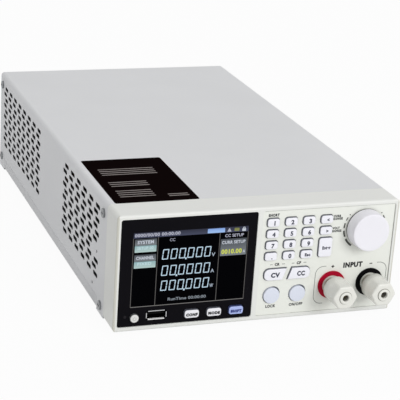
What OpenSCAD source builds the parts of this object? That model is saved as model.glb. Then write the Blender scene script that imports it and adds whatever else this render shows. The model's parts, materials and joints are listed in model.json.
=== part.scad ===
// Bench DC electronic load: a slotted steel case behind a moulded front frame,
// with a display, a keypad, a rotary knob and a pair of screw-down binding posts.
// The front faces -Y and +Z is up. The origin lies on the ground, under the middle
// of the whole outline.
// Inside the modules a point is (u, q, v): u from the case's left side, q back from
// the front rim and v up from the case's lower edge.

/* [Case] */
// Height of the case without its feet
case_h = 75.8; // [74:0.1:90]
// Depth from the front rim to the rear edge of the cover
case_d = 327; // [310:1:400]
// Depth of the moulded front frame
frame_d = 21.5; // [21:0.5:30]
// Rounding of the front frame's front edges
edge_r = 1.3; // [1:0.1:2.6]
// Thickness of the painted sheet
sheet_t = 1.2; // [0.8:0.1:1.6]
// Outer bend radius of the sheet
bend_r = 2.6; // [2:0.1:4]
// Gap between the ground and the case's lower edge
foot_h = 3.5; // [2:0.1:8]
// Diameter of a rubber foot
foot_d = 14; // [10:0.5:20]
// Distance of a foot's centre from the case's sides
foot_inset = 16; // [12:0.5:30]
// How far the tray sits above the case's lower edge
tray_lift = 1.2; // [1:0.1:2]
// Height of the cover's raised lower edge
seam_v = 8.9; // [7:0.1:12]
// Length of the cover's full-height legs behind the frame
leg_front = 15.5; // [11:0.5:18]
// Length of the cover's full-height legs at the rear
leg_rear = 16; // [14:0.5:22]
// Thickness of the frame's tongue inside the cover
tongue_t = 1.8; // [1.4:0.1:2.4]
// Clearance between pieces that sit side by side
fit_gap = 0.15; // [0.1:0.01:0.2]

/* [Front plates] */
// Width of the frame's rim at the sides and top
rim_w = 2.7; // [2.6:0.1:4]
// Height of the frame's rim at the bottom
sill_h = 3.1; // [2.7:0.1:4]
// Width of the frame's bar between display window and control panel
bar_w = 3.5; // [3:0.1:6]
// Depth of the plates below the rim
recess = 0.6; // [0.3:0.1:1]
// Thickness of the display window and the control panel
plate_t = 2; // [1.5:0.1:3]
// Corner radius of the plates
plate_r = 1.5; // [1:0.1:3]
// Width of the ledge that carries the plates
lip_w = 1.5; // [1:0.1:1.8]
// Thickness of that ledge
lip_t = 2; // [1:0.1:2.5]

/* [Display] */
// Width of the display module
lcd_w = 81.4; // [78:0.1:90]
// Space between the display module and the window's sides
lcd_margin = 2.95; // [2.5:0.05:6]
// Space between the display module and the window's lower edge
lcd_up = 10.5; // [10:0.1:12]
// Space between the display module and the window's upper edge
lcd_down = 5.1; // [4:0.1:8]
// Width of the bezel round the display's picture
lcd_bezel = 2.2; // [1.5:0.1:3]
// Depth of the display's picture below its bezel
lcd_sunk = 0.5; // [0.2:0.1:1]

/* [Keys] */
// Width of a keypad key
key_w = 8.25; // [7:0.05:9]
// Height of a keypad key
key_h = 5.6; // [5:0.05:6.4]
// Sideways pitch of the keypad
key_pitch_u = 12; // [11:0.1:13]
// Upward pitch of the keypad
key_pitch_v = 7.5; // [7.2:0.1:8]
// Corner radius of a key
key_r = 1.7; // [0.5:0.1:2]
// How far a key stands out of its plate
key_proud = 1.5; // [1.3:0.1:2.5]
// Travel of a key
key_travel = 1.2; // [0.6:0.1:1.3]
// Thickness of a key's flange
flange_t = 1; // [0.8:0.1:1.5]
// Gap round a key in its hole
key_gap = 0.3; // [0.25:0.05:0.4]
// Thickness of the rubber mat behind the keys
mat_t = 2.9; // [2:0.1:4]
// Space left of the keypad on its panel
key_inset = 2.7; // [2.5:0.1:5]
// Space above the keypad on its panel
key_drop = 4.8; // [3:0.1:6]
// Width of the double-height key
enter_w = 9.3; // [8:0.1:10]
// Width of a mode key at its longer edge
mode_w = 15.4; // [14:0.1:17]
// Height of a mode key
mode_h = 7.9; // [7:0.1:9.5]
// Radius of a mode key's round end
mode_r = 3.4; // [2:0.1:3.5]
// Slant of the mode keys' facing edges
mode_slant = 2.8; // [1:0.1:4]
// Gap between the mode keys
mode_gap = 3.3; // [2:0.1:4]
// Space between the keypad's left edge and the mode keys
mode_inset = 0.5; // [0:0.1:1]
// Diameter of a round key
round_d = 11; // [9:0.1:13]
// Pitch of the round keys
round_pitch = 17.6; // [15:0.1:20]
// Distance of the first round key's centre from the keypad's left edge
round_inset = 6.8; // [6:0.1:8]
// Height kept free for the legends above the mode keys
mode_label_h = 0.8; // [0:0.1:1.2]
// Height kept free for the legends under the round keys
legend_h = 3; // [2:0.1:4]
// Width of a small key under the display
soft_w = 10; // [8:0.1:12]
// Height of a small key under the display
soft_h = 5.9; // [4:0.1:6.2]
// Pitch of the small keys
soft_pitch = 14.6; // [13.5:0.1:16]
// Space between the last small key and the window's side
soft_margin = 5.3; // [5:0.1:6]
// Diameter of the power key
power_d = 6; // [5:0.1:6.5]
// Distance of the power key's centre from the window's side
power_left = 10.8; // [10.5:0.1:11.5]
// Diameter of the status light
light_d = 2; // [1.5:0.1:3]
// Distance of the status light's centre from the window's side
light_left = 5; // [4.5:0.1:5.5]
// Height of the status light above the row of small keys
light_up = 0.9; // [0.5:0.1:1]
// Height of the row of small keys
small_v = 8.6; // [8.5:0.1:9]

/* [Data socket] */
// Outer width of the socket's shell
usb_w = 13.1; // [12:0.1:14]
// Outer height of the socket's shell
usb_h = 6; // [5.5:0.1:6.4]
// Length of the socket
usb_l = 14; // [12:0.5:18]
// Wall of the socket's shell
usb_wall = 0.4; // [0.3:0.05:0.5]
// Outer corner radius of the data socket's shell
usb_r = 1.5; // [0.8:0.1:2]
// Distance of the socket from the window's side
usb_left = 18.4; // [17:0.1:19]
// Height of the socket's centre above the row of small keys
usb_up = 1; // [0.5:0.1:1.2]
// How far the socket stands out of the window
usb_proud = 0.3; // [0.1:0.1:0.5]
// Thickness of the socket's contact tongue
usb_tongue = 1.8; // [1.5:0.1:2]

/* [Knob] */
// Diameter of the knob
knob_d = 25.5; // [20:0.5:28]
// Height of the knob
knob_h = 10; // [9:0.5:16]
// Space between the keypad and the knob
knob_left = 10.1; // [8:0.1:16]
// Space between the knob and the case's side
knob_right = 10.15; // [8:0.05:16]
// Space above the knob on its panel
knob_above = 2.35; // [1:0.05:5]
// Diameter of the encoder's shaft
shaft_d = 6; // [5:0.1:6.35]
// Side of the encoder's square body
encoder_w = 12.5; // [11:0.1:14]
// Rounding of the knob's front edge
knob_rim = 1.4; // [0.5:0.1:2]
// Thickness of the knob's face in front of the shaft
knob_face = 2; // [1.5:0.1:3]

/* [Binding posts] */
// Distance between the two posts
post_pitch = 26.4; // [22:0.1:28]
// Distance of the right post from the case's side
post_right = 15.9; // [14:0.1:18]
// Height of the posts above the case's lower edge
post_v = 20.5; // [18:0.1:24]
// How far the posts stand out of the front rim
post_out = 22.5; // [20:0.5:30]
// Diameter of a screw cap
cap_d = 16.4; // [15.5:0.1:17]
// How far the screw caps stand open
cap_open = 5.5; // [5.2:0.1:6]
// Width of a screw cap's head across its flats
head_d = 14.8; // [14:0.1:15.4]
// Length of a screw cap's head
head_l = 9.5; // [8:0.1:11]
// Outer diameter of a coloured ring
ring_d = 18.6; // [17:0.1:20]
// Width of a coloured ring
ring_w = 2.9; // [2:0.1:3]
// Diameter of a stud
stud_d = 6.5; // [6:0.1:6.8]
// Bore of a plug socket
socket_d = 4; // [4:0.1:4.2]
// Depth of a plug socket
socket_l = 11; // [9:0.5:11]
// How far a screw cap reaches past its stud
stud_short = 7.5; // [7.3:0.1:8]
// Thickness of a coloured ring
ring_t = 0.8; // [0.5:0.1:0.8]
// Diameter of a stud's wire hole
wire_hole_d = 2.4; // [2:0.1:2.6]
// Distance of the wire hole from the front rim
wire_hole_out = 2.2; // [1.8:0.1:2.4]

/* [Vents] */
// Length of a vent slot
slot_l = 10; // [8:0.1:11]
// Height of a vent slot
slot_h = 3; // [2:0.1:3.5]
// Pitch of the slots in a row
slot_pitch = 15.4; // [14.5:0.1:16]
// Pitch of the rows
row_pitch = 4.54; // [4.2:0.01:4.8]
// Rows of slots
rows = 11; // [8:1:11]
// Shift of every other row
row_shift = 3.9; // [0:0.1:6]
// Slots in a row of the front group
front_slots = 6; // [4:1:6]
// Slots in a row of the rear group
rear_slots = 8; // [6:1:8]
// Distance of the first slot from the front rim
slots_front = 42.6; // [42:0.1:46]
// Distance of the last slot from the cover's rear edge
slots_rear = 20.2; // [20:0.1:26]
// Distance of the top row below the case's top
slots_down = 9; // [8:0.1:12]
// Diameter of the small side holes
side_hole_d = 2.2; // [1.5:0.1:3]
// Height of the lower side hole above the cover's raised edge
side_hole_up = 4.5; // [2:0.1:5]
// Distance of the lower side hole behind the first slot
side_hole_back = 6; // [0:0.5:10]

/* [Rear] */
// Depth of the rear panel inside the cover
rear_recess = 1; // [0.5:0.1:2]
// Length of the rear panel's flanges
flange_l = 11; // [10:0.5:13]
// Side of the square fan
fan_size = 60; // [50:1:64]
// Thickness of the fan
fan_t = 25; // [20:1:30]
// Wire of the fan guard
wire_d = 1.8; // [1.4:0.1:2.4]
// Distance of the rear sockets from the middle
rear_side = 60; // [58:0.5:62]
// Width of the mains inlet's flange
inlet_w = 48; // [44:0.5:50]
// Height of the mains inlet's flange
inlet_h = 22.5; // [22:0.1:30]
// Depth of the mains inlet behind its flange
inlet_l = 26; // [22:0.5:30]
// Width of the mains inlet behind its flange
inlet_body_w = 27; // [25:0.5:28]
// Height of the mains inlet behind its flange
inlet_body_h = 19.5; // [18:0.5:20]
// Thickness of the mains inlet's flange
inlet_flange_t = 2.5; // [2:0.1:3]
// Wall of the mains inlet round its cavity
inlet_wall = 1.4; // [1:0.1:1.8]
// Depth of the mains inlet's cavity
inlet_cavity = 16; // [14:0.5:18]
// Width of the serial socket's flange
serial_w = 31; // [30:0.5:34]
// Height of the serial socket's flange
serial_h = 12.5; // [12:0.1:14]
// Height of the serial socket above the fan's middle
serial_up = 14; // [10:0.5:16]
// How far the serial socket stands out of the rear panel
serial_out = 6; // [4.5:0.1:8]
// Length of the serial socket inside the case
serial_in = 12; // [8:0.5:16]
// Diameter of the fan's hub
hub_d = 27; // [22:0.5:30]
// Width of the fan frame round its bore
fan_rim = 1.5; // [1.2:0.1:2]
// Number of fan blades
blades = 7; // [5:1:9]
// Tilt of a fan blade
blade_tilt = 38; // [30:1:45]
// Thickness of a fan blade
blade_t = 1.6; // [1:0.1:2]

/* [Inside] */
// Thickness of a circuit board
board_t = 1.6; // [1.2:0.1:2]
// Height of a standoff
standoff_h = 6; // [5:0.1:8]
// Thickness of a bus bar
bus_t = 2; // [1:0.1:3]
// Width of a bus bar
bus_w = 12; // [10:0.5:13]
// Length of the heatsink
sink_l = 130; // [100:1:140]
// Width of the heatsink's base
sink_w = 100; // [90:1:104]
// Number of fins
fins = 11; // [7:1:13]
// Thickness of a fin
fin_t = 2; // [1.5:0.1:2.5]
// Diameter of a filter capacitor
capacitor_d = 18; // [14:0.5:20]
// Height of a filter capacitor
capacitor_h = 32; // [25:0.5:40]
// Width of the transformer's core
core_w = 50; // [40:1:54]
// Height of the transformer's core
core_h = 42; // [36:1:46]
// Thickness of the transformer's stack
core_t = 24; // [20:1:30]
// Width of a limb of the transformer's core
core_limb = 8.5; // [7:0.5:10]
// How far the winding stands out of the core
winding_out = 8; // [5:0.5:10]
// Width of a power transistor
transistor_w = 16; // [14:0.5:17]
// Length of a power transistor
transistor_l = 21; // [18:0.5:22]
// Pitch of the power transistors
transistor_pitch = 19; // [18:0.5:20]
// Length of the bus bar's foot on the main board
bus_foot = 30; // [20:1:30]
// Side of the mains header on the main board
header_w = 20; // [18:0.5:24]
// Width of the ribbon cable
ribbon_w = 26; // [20:0.5:34]
// Diameter of a mains lead
lead_d = 2.6; // [2:0.1:3.5]
// Pitch of the mains leads
lead_pitch = 6; // [5:0.5:7]
// Thickness of the ribbon cable
ribbon_t = 1.2; // [0.8:0.1:1.6]
// Outer radius of the ribbon cable's bend
ribbon_bend = 8; // [5:0.5:12]
// Straight length of the ribbon cable behind the front board
ribbon_run = 18; // [14:0.5:24]

/* [Screws] */
// Shank diameter of a screw
screw_d = 2.9; // [2.5:0.1:3]
// Length of a screw's shank
screw_l = 4.6; // [4:0.1:5]
// Head diameter of a screw
screw_head_d = 6; // [5:0.1:6.5]
// Head height of a screw
screw_head_t = 1.2; // [1:0.05:1.2]
// Distance of the front side screws behind the frame
front_screw_back = 7.5; // [6:0.1:9]
// Distance of the rear side screws from the rear panel
rear_screw_in = 6; // [5:0.1:7]
// Distance of the upper side screws from the case's top
screw_down = 8.3; // [7:0.1:10]
// Height of the lower front screws above the tray
front_screw_up = 3.6; // [3.5:0.1:5]
// Height of the lower rear screws above the tray
rear_screw_up = 6.6; // [5:0.1:8]
// Distance of the floor screws from the middle
floor_screw_side = 50; // [40:1:60]

/* [Hidden] */
$fn = 64;
eps = 0.01;
cut = 1;

// Clearances inside the case
fan_clear = 2;
bus_clear = 3;
sink_clear = 1;
fan_rise = 1;
board_gap = 0.5;
foot_gap = 2;
capacitor_gap = 2;

// Levels behind the front rim
q_back = recess + plate_t;
q_ledge = q_back + lip_t;
q_flange = q_back + fit_gap;
q_stop = q_flange + flange_t + key_travel + fit_gap;
q_board = q_stop + mat_t;
q_board_back = q_board + board_t;
q_bus = q_board_back + bus_t;
q_tongue = frame_d + leg_front;
q_panel = case_d - rear_recess;
q_panel_in = q_panel - sheet_t;
q_fan = q_panel_in - fan_t;
q_sink_end = q_fan - fan_clear;
q_sink = q_sink_end - sink_l;
q_main = q_bus + bus_t + bus_clear;
q_main_end = q_sink - sink_clear;
rear_out = serial_out - rear_recess;

// Levels above the case's lower edge
tray_top = tray_lift + sheet_t;
main_under = tray_top + standoff_h;
main_top = main_under + board_t;
panel_top = case_h - rim_w;
fan_v = tray_top + sheet_t + fan_rise + fan_size / 2;
inlet_v = fan_v;

// Front layout from left to right
inset = sheet_t + fit_gap;
wall_in = inset + tongue_t;
win_u = rim_w;
win_w = lcd_w + 2 * lcd_margin;
win_h = panel_top - sill_h;
lcd_h = win_h - lcd_up - lcd_down;
win_right = win_u + win_w;
panel_u = win_right + bar_w;
key_u = panel_u + key_inset;
key_top = panel_top - key_drop;
keypad_right = key_u + 3 * key_pitch_u + key_w;
knob_u = keypad_right + knob_left + knob_d / 2;
knob_v = panel_top - knob_above - knob_d / 2;
case_w = knob_u + knob_d / 2 + knob_right;
panel_w = case_w - rim_w - panel_u;
post_right_u = case_w - post_right;
posts = [post_right_u - post_pitch, post_right_u];
mode_u = key_u + mode_inset;
mode_right = mode_u + 2 * mode_w - mode_slant + mode_gap;
round_u = key_u + round_inset;
light_u = win_u + light_left;
power_u = win_u + power_left;
usb_u = win_u + usb_left;
soft_right = win_right - soft_margin;
mid_u = case_w / 2;
front_y = post_out - (post_out + case_d + rear_out) / 2;

// Mode keys and round keys share the height under the keypad in three equal gaps, less the legends
keypad_low = key_top - 3 * key_pitch_v - key_h;
row_gap = (keypad_low - sill_h - mode_label_h - mode_h - round_d - legend_h) / 3;
mode_v = keypad_low - row_gap - mode_label_h - mode_h;
round_v = mode_v - row_gap - round_d / 2;

// Keypad keys as name, column and row
KEYPAD = [
  ["key_1", 0, 0], ["key_2", 1, 0], ["key_3", 2, 0], ["key_left", 3, 0],
  ["key_4", 0, 1], ["key_5", 1, 1], ["key_6", 2, 1], ["key_right", 3, 1],
  ["key_7", 0, 2], ["key_8", 1, 2], ["key_9", 2, 2],
  ["key_point", 0, 3], ["key_0", 1, 3], ["key_esc", 2, 3]
];
ROUND_KEYS = ["key_lock", "key_on_off"];
SOFT_KEYS = ["soft_key_1", "soft_key_2", "soft_key_3"];
POST_SIDES = ["positive", "negative"];

// Keys, mat and knob
key_flange = min(key_pitch_u - key_w, key_pitch_v - key_h) / 2 - fit_gap;
round_flange = 0.8;
pad_t = 0.4;
mat_rim = 1;
shaft_gap = 0.05;
bushing_d = shaft_d + 1.6;
bushing_l = 4;
knob_gap = 0.4;
encoder_end = 1;
q_shaft = q_board - encoder_end - fit_gap;
usb_back = 1;

// Binding posts
post_gap = 0.3;
insert_l = 6;
insert_wall = 1.2;
insert_d = stud_d + 2 * fit_gap + 2 * insert_wall;
insert_in = 1.5;
cap_face = 1.8;
collar_d = 7.8;
collar_t = 0.8;
stud_rear_d = 6;
stud_rear_l = 9;
stud_flange_d = 9.6;
stud_flange_t = 0.8;
q_cap = recess - stud_flange_t - post_gap - cap_open;
nut_d = 11;
nut_t = 3;

// Fan
pin_d = 3;
fan_bore = fan_size - 2 * fan_rim;
fan_screw_in = 5;
fan_screw = fan_size / 2 - fan_screw_in;
spoke_w = 3;
spoke_t = 2.5;
spoke_q = q_panel_in - board_gap - spoke_t;
rotor_gap = 1.5;
rotor_l = fan_t - 2 * (spoke_t + rotor_gap);

// Frame, tray and feet
gusset_h = 7;
gusset_w = 6.5;
stop_w = 2.4;
boss_d = 5.5;
hole_row = 6;
panel_screw_in = 5.4;
standoff_in = 9;
standoff_d = 6.4;
tray_flange = 4;
foot_edge = 1;

// Mains inlet and serial socket
inlet_r = 2;
inlet_pin = [2, 4];
inlet_pins = [[-7, -2], [0, 2.5], [7, -2]];
serial_v = fan_v + serial_up;
serial_lug = 5.5;
serial_lip = 1;
serial_step = 1.5;
serial_body_w = serial_w - 2 * serial_lug;
serial_body_h = serial_h - 2 * serial_lip;
serial_r = 1;
serial_rim = 0.8;
serial_flange_t = 0.8;
serial_nose_w = serial_body_w - 2 * serial_step;
serial_nose_h = serial_body_h - 2 * serial_lip;
jack_side = 12.5;
jack_l = 5;
jack_d = 5;

// Heatsink, transistors, transformer and leads
leg_drop = 2;
leg_w = 1.2;
leg_in = 3;
leg_l = 10;
transistor_t = 5;
shelf_edge = 3;
sink_shelf = leg_in + transistor_l + shelf_edge;
sink_top = main_top - leg_drop;
fin_side = 3;
fin_bank = fan_size - 2 * fin_side;
header_l = header_w / 2;
lead_gap = 0.8;
bobbin_h = core_h - 2 * core_limb + 2 * fit_gap;
core_u = mid_u - core_w;
core_q = q_tongue + core_w;

function key_at(col, row) =
  [key_u + col * key_pitch_u, key_top - row * key_pitch_v - key_h];
function round_at(i) = [round_u + i * round_pitch, round_v];
function soft_at(i) =
  [soft_right - soft_w - (2 - i) * soft_pitch, small_v - soft_h / 2];

// Places of the screws: side screws as (q, v), board and floor screws as (u, q)
side_screws = [
  [frame_d + front_screw_back, case_h - screw_down],
  [frame_d + front_screw_back, tray_top + front_screw_up],
  [q_panel - rear_screw_in, case_h - screw_down],
  [q_panel - rear_screw_in, tray_top + rear_screw_up]
];
floor_screws = [
  for (u = [mid_u - floor_screw_side, mid_u + floor_screw_side])
    for (q = [frame_d + front_screw_back, q_panel - rear_screw_in]) [u, q]
];
main_screws = [
  for (u = [wall_in + standoff_in, mid_u - standoff_in, case_w - wall_in - standoff_in])
    for (q = [q_tongue + standoff_in, q_main_end - standoff_d]) [u, q]
];
panel_screws = [
  [panel_u - bar_w / 2, panel_top - panel_screw_in],
  [panel_u - bar_w / 2, sill_h + panel_screw_in],
  [case_w - wall_in - gusset_w / 2, panel_top - panel_screw_in],
  [case_w - wall_in - gusset_w / 2, sill_h + panel_screw_in]
];
feet_at = [
  for (u = [foot_inset, case_w - foot_inset])
    for (q = [q_tongue + foot_d / 2 + foot_gap, q_panel - flange_l - foot_d / 2 - foot_gap]) [u, q]
];

// Moves (u, q, v) into the part's frame
module in_case() translate([-case_w / 2, front_y, foot_h]) children();

// Extrudes a (u, v) outline from q0 back to q1
module slab(q0, q1)
  translate([0, q1, 0]) rotate([90, 0, 0]) linear_extrude(q1 - q0) children();

// Extrudes a (q, v) outline from u0 to u1
module across(u0, u1)
  translate([u0, 0, 0]) rotate([90, 0, 90]) linear_extrude(u1 - u0) children();

// Extrudes a (u, q) outline from v0 up to v1
module rise(v0, v1) translate([0, 0, v0]) linear_extrude(v1 - v0) children();

// Turns children's +Z to face the front at (u, q, v)
module facing(u, q, v) translate([u, q, v]) rotate([90, 0, 0]) children();

// Rectangle with round corners, from its lower left corner
module rounded(w, h, r) {
  translate([r, 0]) square([w - 2 * r, h]);
  translate([0, r]) square([w, h - 2 * r]);
  for (x = [r, w - r], y = [r, h - r]) translate([x, y]) circle(r);
}

// Rectangle with round corners, about its centre
module pill(w, h, r) translate([-w / 2, -h / 2]) rounded(w, h, r);

// Rectangle whose two corners at x = 0 are round
module nosed(d, h, r) {
  translate([r, 0]) square([d - r, h]);
  translate([0, r]) square([d, h - 2 * r]);
  for (y = [r, h - r]) translate([r, y]) circle(r);
}

// Outlines of the keys, grown by g all round
module keypad_outline(col, row, g) {
  at = key_at(col, row);
  translate([at[0] - g, at[1] - g]) rounded(key_w + 2 * g, key_h + 2 * g, key_r + g);
}

module enter_outline(g) {
  at = key_at(3, 3);
  translate([at[0] - g, at[1] - g])
    rounded(enter_w + 2 * g, key_h + key_pitch_v + 2 * g, key_r + g);
}

// Key with one round end and one slanted end
module mode_outline(g) {
  r = mode_r + g;
  w = mode_w + 2 * g;
  h = mode_h + 2 * g;
  translate([-g, -g]) {
    polygon([[r, 0], [w - mode_slant, 0], [w, h], [r, h]]);
    translate([0, r]) square([r, h - 2 * r]);
    for (y = [r, h - r]) translate([r, y]) circle(r);
  }
}

module cv_outline(g) translate([mode_u, mode_v]) mode_outline(g);

module cc_outline(g)
  translate([mode_right, mode_v + mode_h]) rotate(180) mode_outline(g);

module round_outline(i, g) translate(round_at(i)) circle(d = round_d + 2 * g);

module soft_outline(i, g) {
  at = soft_at(i);
  translate([at[0] - g, at[1] - g]) rounded(soft_w + 2 * g, soft_h + 2 * g, soft_h / 3 + g);
}

module power_outline(g) translate([power_u, small_v]) circle(d = power_d + 2 * g);

module usb_outline(g)
  translate([usb_u - g, small_v + usb_up - usb_h / 2 - g])
    rounded(usb_w + 2 * g, usb_h + 2 * g, usb_r + g);

// Screw with its head's seat at the origin and its shank along -Z
module screw() {
  difference() {
    cylinder(d = screw_head_d, h = screw_head_t);
    for (a = [0, 90]) rotate(a) translate([0, 0, screw_head_t])
      cube([screw_d * 1.2, screw_d / 4, screw_head_t * 1.2], center = true);
  }
  translate([0, 0, -screw_l]) cylinder(d = screw_d, h = screw_l + eps);
}

// Straight hole along +Z for a screw's shank
module screw_hole(l = 2 * screw_l) cylinder(d = screw_d + 2 * fit_gap, h = l, center = true);

// Children at every side screw, seat outwards
module at_side_screws() for (s = side_screws) {
  translate([case_w, s[0], s[1]]) rotate([0, 90, 0]) children();
  translate([0, s[0], s[1]]) rotate([0, -90, 0]) children();
}

module at_floor_screws() for (s = floor_screws)
  translate([s[0], s[1], tray_lift]) rotate([180, 0, 0]) children();

module at_main_screws() for (s = main_screws) translate([s[0], s[1], main_top]) children();

module at_panel_screws() for (s = panel_screws)
  translate([s[0], q_board_back, s[1]]) rotate([-90, 0, 0]) children();

module at_fan_screws() for (x = [-1, 1], z = [-1, 1])
  translate([mid_u + x * fan_screw, q_panel + wire_d, fan_v + z * fan_screw])
    rotate([-90, 0, 0]) children();

// Moulded frame round the front plates, with the tongue that slides into the cover
module front_frame() color("#e6e5de") difference() {
  union() {
    difference() {
      union() {
        intersection() {
          slab(0, frame_d) rounded(case_w, case_h, bend_r);
          across(0, case_w) nosed(frame_d, case_h, edge_r);
          rise(0, case_h) translate([case_w, 0]) rotate(90) nosed(frame_d, case_w, edge_r);
        }
        slab(frame_d - eps, q_tongue) translate([inset, tray_top])
          rounded(case_w - 2 * inset, case_h - inset - tray_top, bend_r);
      }
      slab(q_ledge, q_tongue + cut) translate([wall_in, tray_top + tongue_t])
        square([case_w - 2 * wall_in, case_h - wall_in - tray_top - tongue_t]);
      plate_seat(win_u, win_w);
      plate_seat(panel_u, panel_w);
    }
    for (s = [0, 1]) slab(q_ledge - eps, q_board)
      translate(panel_screws[s]) circle(d = boss_d);
    for (s = [2, 3]) slab(q_back + fit_gap, q_board)
      translate([panel_screws[s][0] - gusset_w / 2, panel_screws[s][1] - gusset_h / 2])
        square([gusset_w + wall_in - inset, gusset_h]);
    for (v = [sill_h + lip_w + fit_gap, panel_top - lip_w - gusset_h])
      slab(q_ledge - eps, q_board) translate([inset, v])
        square([wall_in - inset + stop_w, gusset_h]);
  }
  at_side_screws() screw_hole();
  at_floor_screws() screw_hole();
  at_panel_screws() screw_hole();
}

// Pocket and opening for one front plate
module plate_seat(u, w) {
  slab(-cut, q_back) translate([u - fit_gap, sill_h - fit_gap])
    rounded(w + 2 * fit_gap, win_h + 2 * fit_gap, plate_r);
  slab(q_back - eps, q_ledge + eps) translate([u + lip_w, sill_h + lip_w])
    square([w - 2 * lip_w, win_h - 2 * lip_w]);
}

module display_window() color("#0f0e12") slab(recess, q_back) difference() {
  translate([win_u, sill_h]) rounded(win_w, win_h, plate_r);
  for (i = [0:2]) soft_outline(i, key_gap);
  power_outline(key_gap);
  usb_outline(fit_gap);
  translate([light_u, small_v + light_up]) circle(d = light_d + 2 * fit_gap);
}

module control_panel() color("#eceae3") slab(recess, q_back) difference() {
  translate([panel_u, sill_h]) rounded(panel_w, win_h, plate_r);
  for (k = KEYPAD) keypad_outline(k[1], k[2], key_gap);
  enter_outline(key_gap);
  cv_outline(key_gap);
  cc_outline(key_gap);
  for (i = [0, 1]) round_outline(i, key_gap);
  translate([knob_u, knob_v]) circle(d = bushing_d + 2 * fit_gap);
  for (u = posts) translate([u, post_v]) circle(d = stud_d + 2 * fit_gap);
}

module lcd_module() color("#20232a") difference() {
  slab(q_back, q_board) translate([win_u + lcd_margin, sill_h + lcd_up])
    rounded(lcd_w, lcd_h, lcd_bezel / 2);
  slab(q_back - cut, q_back + lcd_sunk)
    translate([win_u + lcd_margin + lcd_bezel, sill_h + lcd_up + lcd_bezel])
      square([lcd_w - 2 * lcd_bezel, lcd_h - 2 * lcd_bezel]);
}

module front_board() color("#1f5a3c") difference() {
  slab(q_board, q_board_back)
    translate([wall_in + board_gap, tray_top + tongue_t + board_gap])
      square([
        case_w - 2 * wall_in - 2 * board_gap,
        case_h - wall_in - tray_top - tongue_t - 2 * board_gap
      ]);
  slab(q_board - cut, q_board_back + cut) usb_outline(fit_gap);
  for (u = posts) facing(u, q_board_back + cut, post_v)
    cylinder(d = nut_d / cos(30) + 2 * board_gap, h = board_t + 2 * cut);
  at_panel_screws() screw_hole();
}

// Rubber mats with a raised pad behind every key
module key_mat() color("#3a3c40") {
  low = keypad_low - mat_rim;
  left = panel_u + lip_w + fit_gap;
  slab(q_stop + pad_t, q_board) {
    translate([left, low])
      square([keypad_right + 2 * mat_rim - left, key_top + mat_rim - low]);
    translate([left, round_v - round_d / 2 - mat_rim])
      square([mode_right - left, low - round_v + round_d / 2 + mat_rim + eps]);
  }
  slab(q_stop, q_stop + pad_t + eps) {
    for (k = KEYPAD) keypad_outline(k[1], k[2], -mat_rim);
    enter_outline(-mat_rim);
    cv_outline(-mat_rim);
    cc_outline(-mat_rim);
    for (i = [0, 1]) round_outline(i, -mat_rim);
  }
  slab(q_stop, q_board) {
    power_outline(-fit_gap);
    translate(soft_at(0)) square([soft_w + 2 * soft_pitch, soft_h]);
  }
}

// Shell of the data socket with its contact tongue
module data_socket() color("#b9bcc0") {
  difference() {
    slab(recess - usb_proud, usb_l) usb_outline(0);
    slab(-cut, usb_l - usb_back) usb_outline(-usb_wall);
  }
  slab(recess + usb_back, usb_l - usb_back + eps)
    translate([usb_u + usb_back, small_v + usb_up + usb_h / 2 - usb_back - usb_tongue])
      square([usb_w - 2 * usb_back, usb_tongue]);
}

module status_light() color("#e9edf0")
  facing(light_u, q_board, small_v + light_up)
    cylinder(d = light_d, h = q_board - recess - fit_gap);

module encoder_body() color("#8f9499") difference() {
  union() {
    slab(q_back, q_board) translate([knob_u, knob_v]) square(encoder_w, center = true);
    facing(knob_u, q_back + eps, knob_v) cylinder(d = bushing_d, h = plate_t + bushing_l);
  }
  facing(knob_u, q_board - encoder_end, knob_v)
    cylinder(d = shaft_d + 2 * shaft_gap, h = q_board + bushing_l);
}

module encoder_shaft() color("#c8cbcf")
  facing(knob_u, q_shaft, knob_v)
    cylinder(d = shaft_d, h = q_shaft - recess + knob_gap + knob_h - knob_face);

module control_knob() color("#ecebf0") facing(knob_u, recess - knob_gap, knob_v) difference() {
  r = knob_d / 2;
  rotate_extrude() {
    square([r - knob_rim, knob_h]);
    square([r, knob_h - knob_rim]);
    translate([r - knob_rim, knob_h - knob_rim]) intersection() {
      circle(knob_rim);
      square(knob_rim);
    }
  }
  translate([0, 0, -eps]) cylinder(d = bushing_d + 2 * knob_gap, h = bushing_l + knob_gap);
  translate([0, 0, -eps]) cylinder(d = shaft_d + 2 * eps, h = knob_h - knob_face + eps);
}

module ring(u, c) color(c) facing(u, recess, post_v) difference() {
  cylinder(d = ring_d, h = ring_t);
  translate([0, 0, -cut]) cylinder(d = ring_d - 2 * ring_w, h = ring_t + 2 * cut);
}

// Metal studs with a plug socket in front and a wire hole near the panel
module post_studs() color("#c9c4b4") for (u = posts) facing(u, 0, post_v) difference() {
  tip = post_out - stud_short;
  union() {
    translate([0, 0, -q_back]) cylinder(d = stud_d, h = q_back + tip);
    translate([0, 0, -recess]) cylinder(d = stud_flange_d, h = stud_flange_t);
    translate([0, 0, -q_bus - stud_rear_l]) cylinder(d = stud_rear_d, h = q_bus + stud_rear_l);
  }
  translate([0, 0, tip - socket_l]) cylinder(d = socket_d, h = socket_l + cut);
  translate([0, 0, wire_hole_out]) rotate([90, 0, 0])
    cylinder(d = wire_hole_d, h = stud_d * 2, center = true);
}

// Hexagonal sleeve and nut that hold each bus bar on its stud
module stud_nuts() color("#c7b27a") for (u = posts) difference() {
  union() {
    facing(u, q_bus, post_v) cylinder(d = nut_d / cos(30), h = q_bus - q_back, $fn = 6);
    facing(u, q_bus + bus_t + nut_t, post_v) cylinder(d = nut_d / cos(30), h = nut_t, $fn = 6);
  }
  facing(u, q_bus + 2 * nut_t + bus_t, post_v)
    cylinder(d = stud_rear_d + 2 * fit_gap, h = q_bus + 2 * nut_t + bus_t);
}

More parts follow.
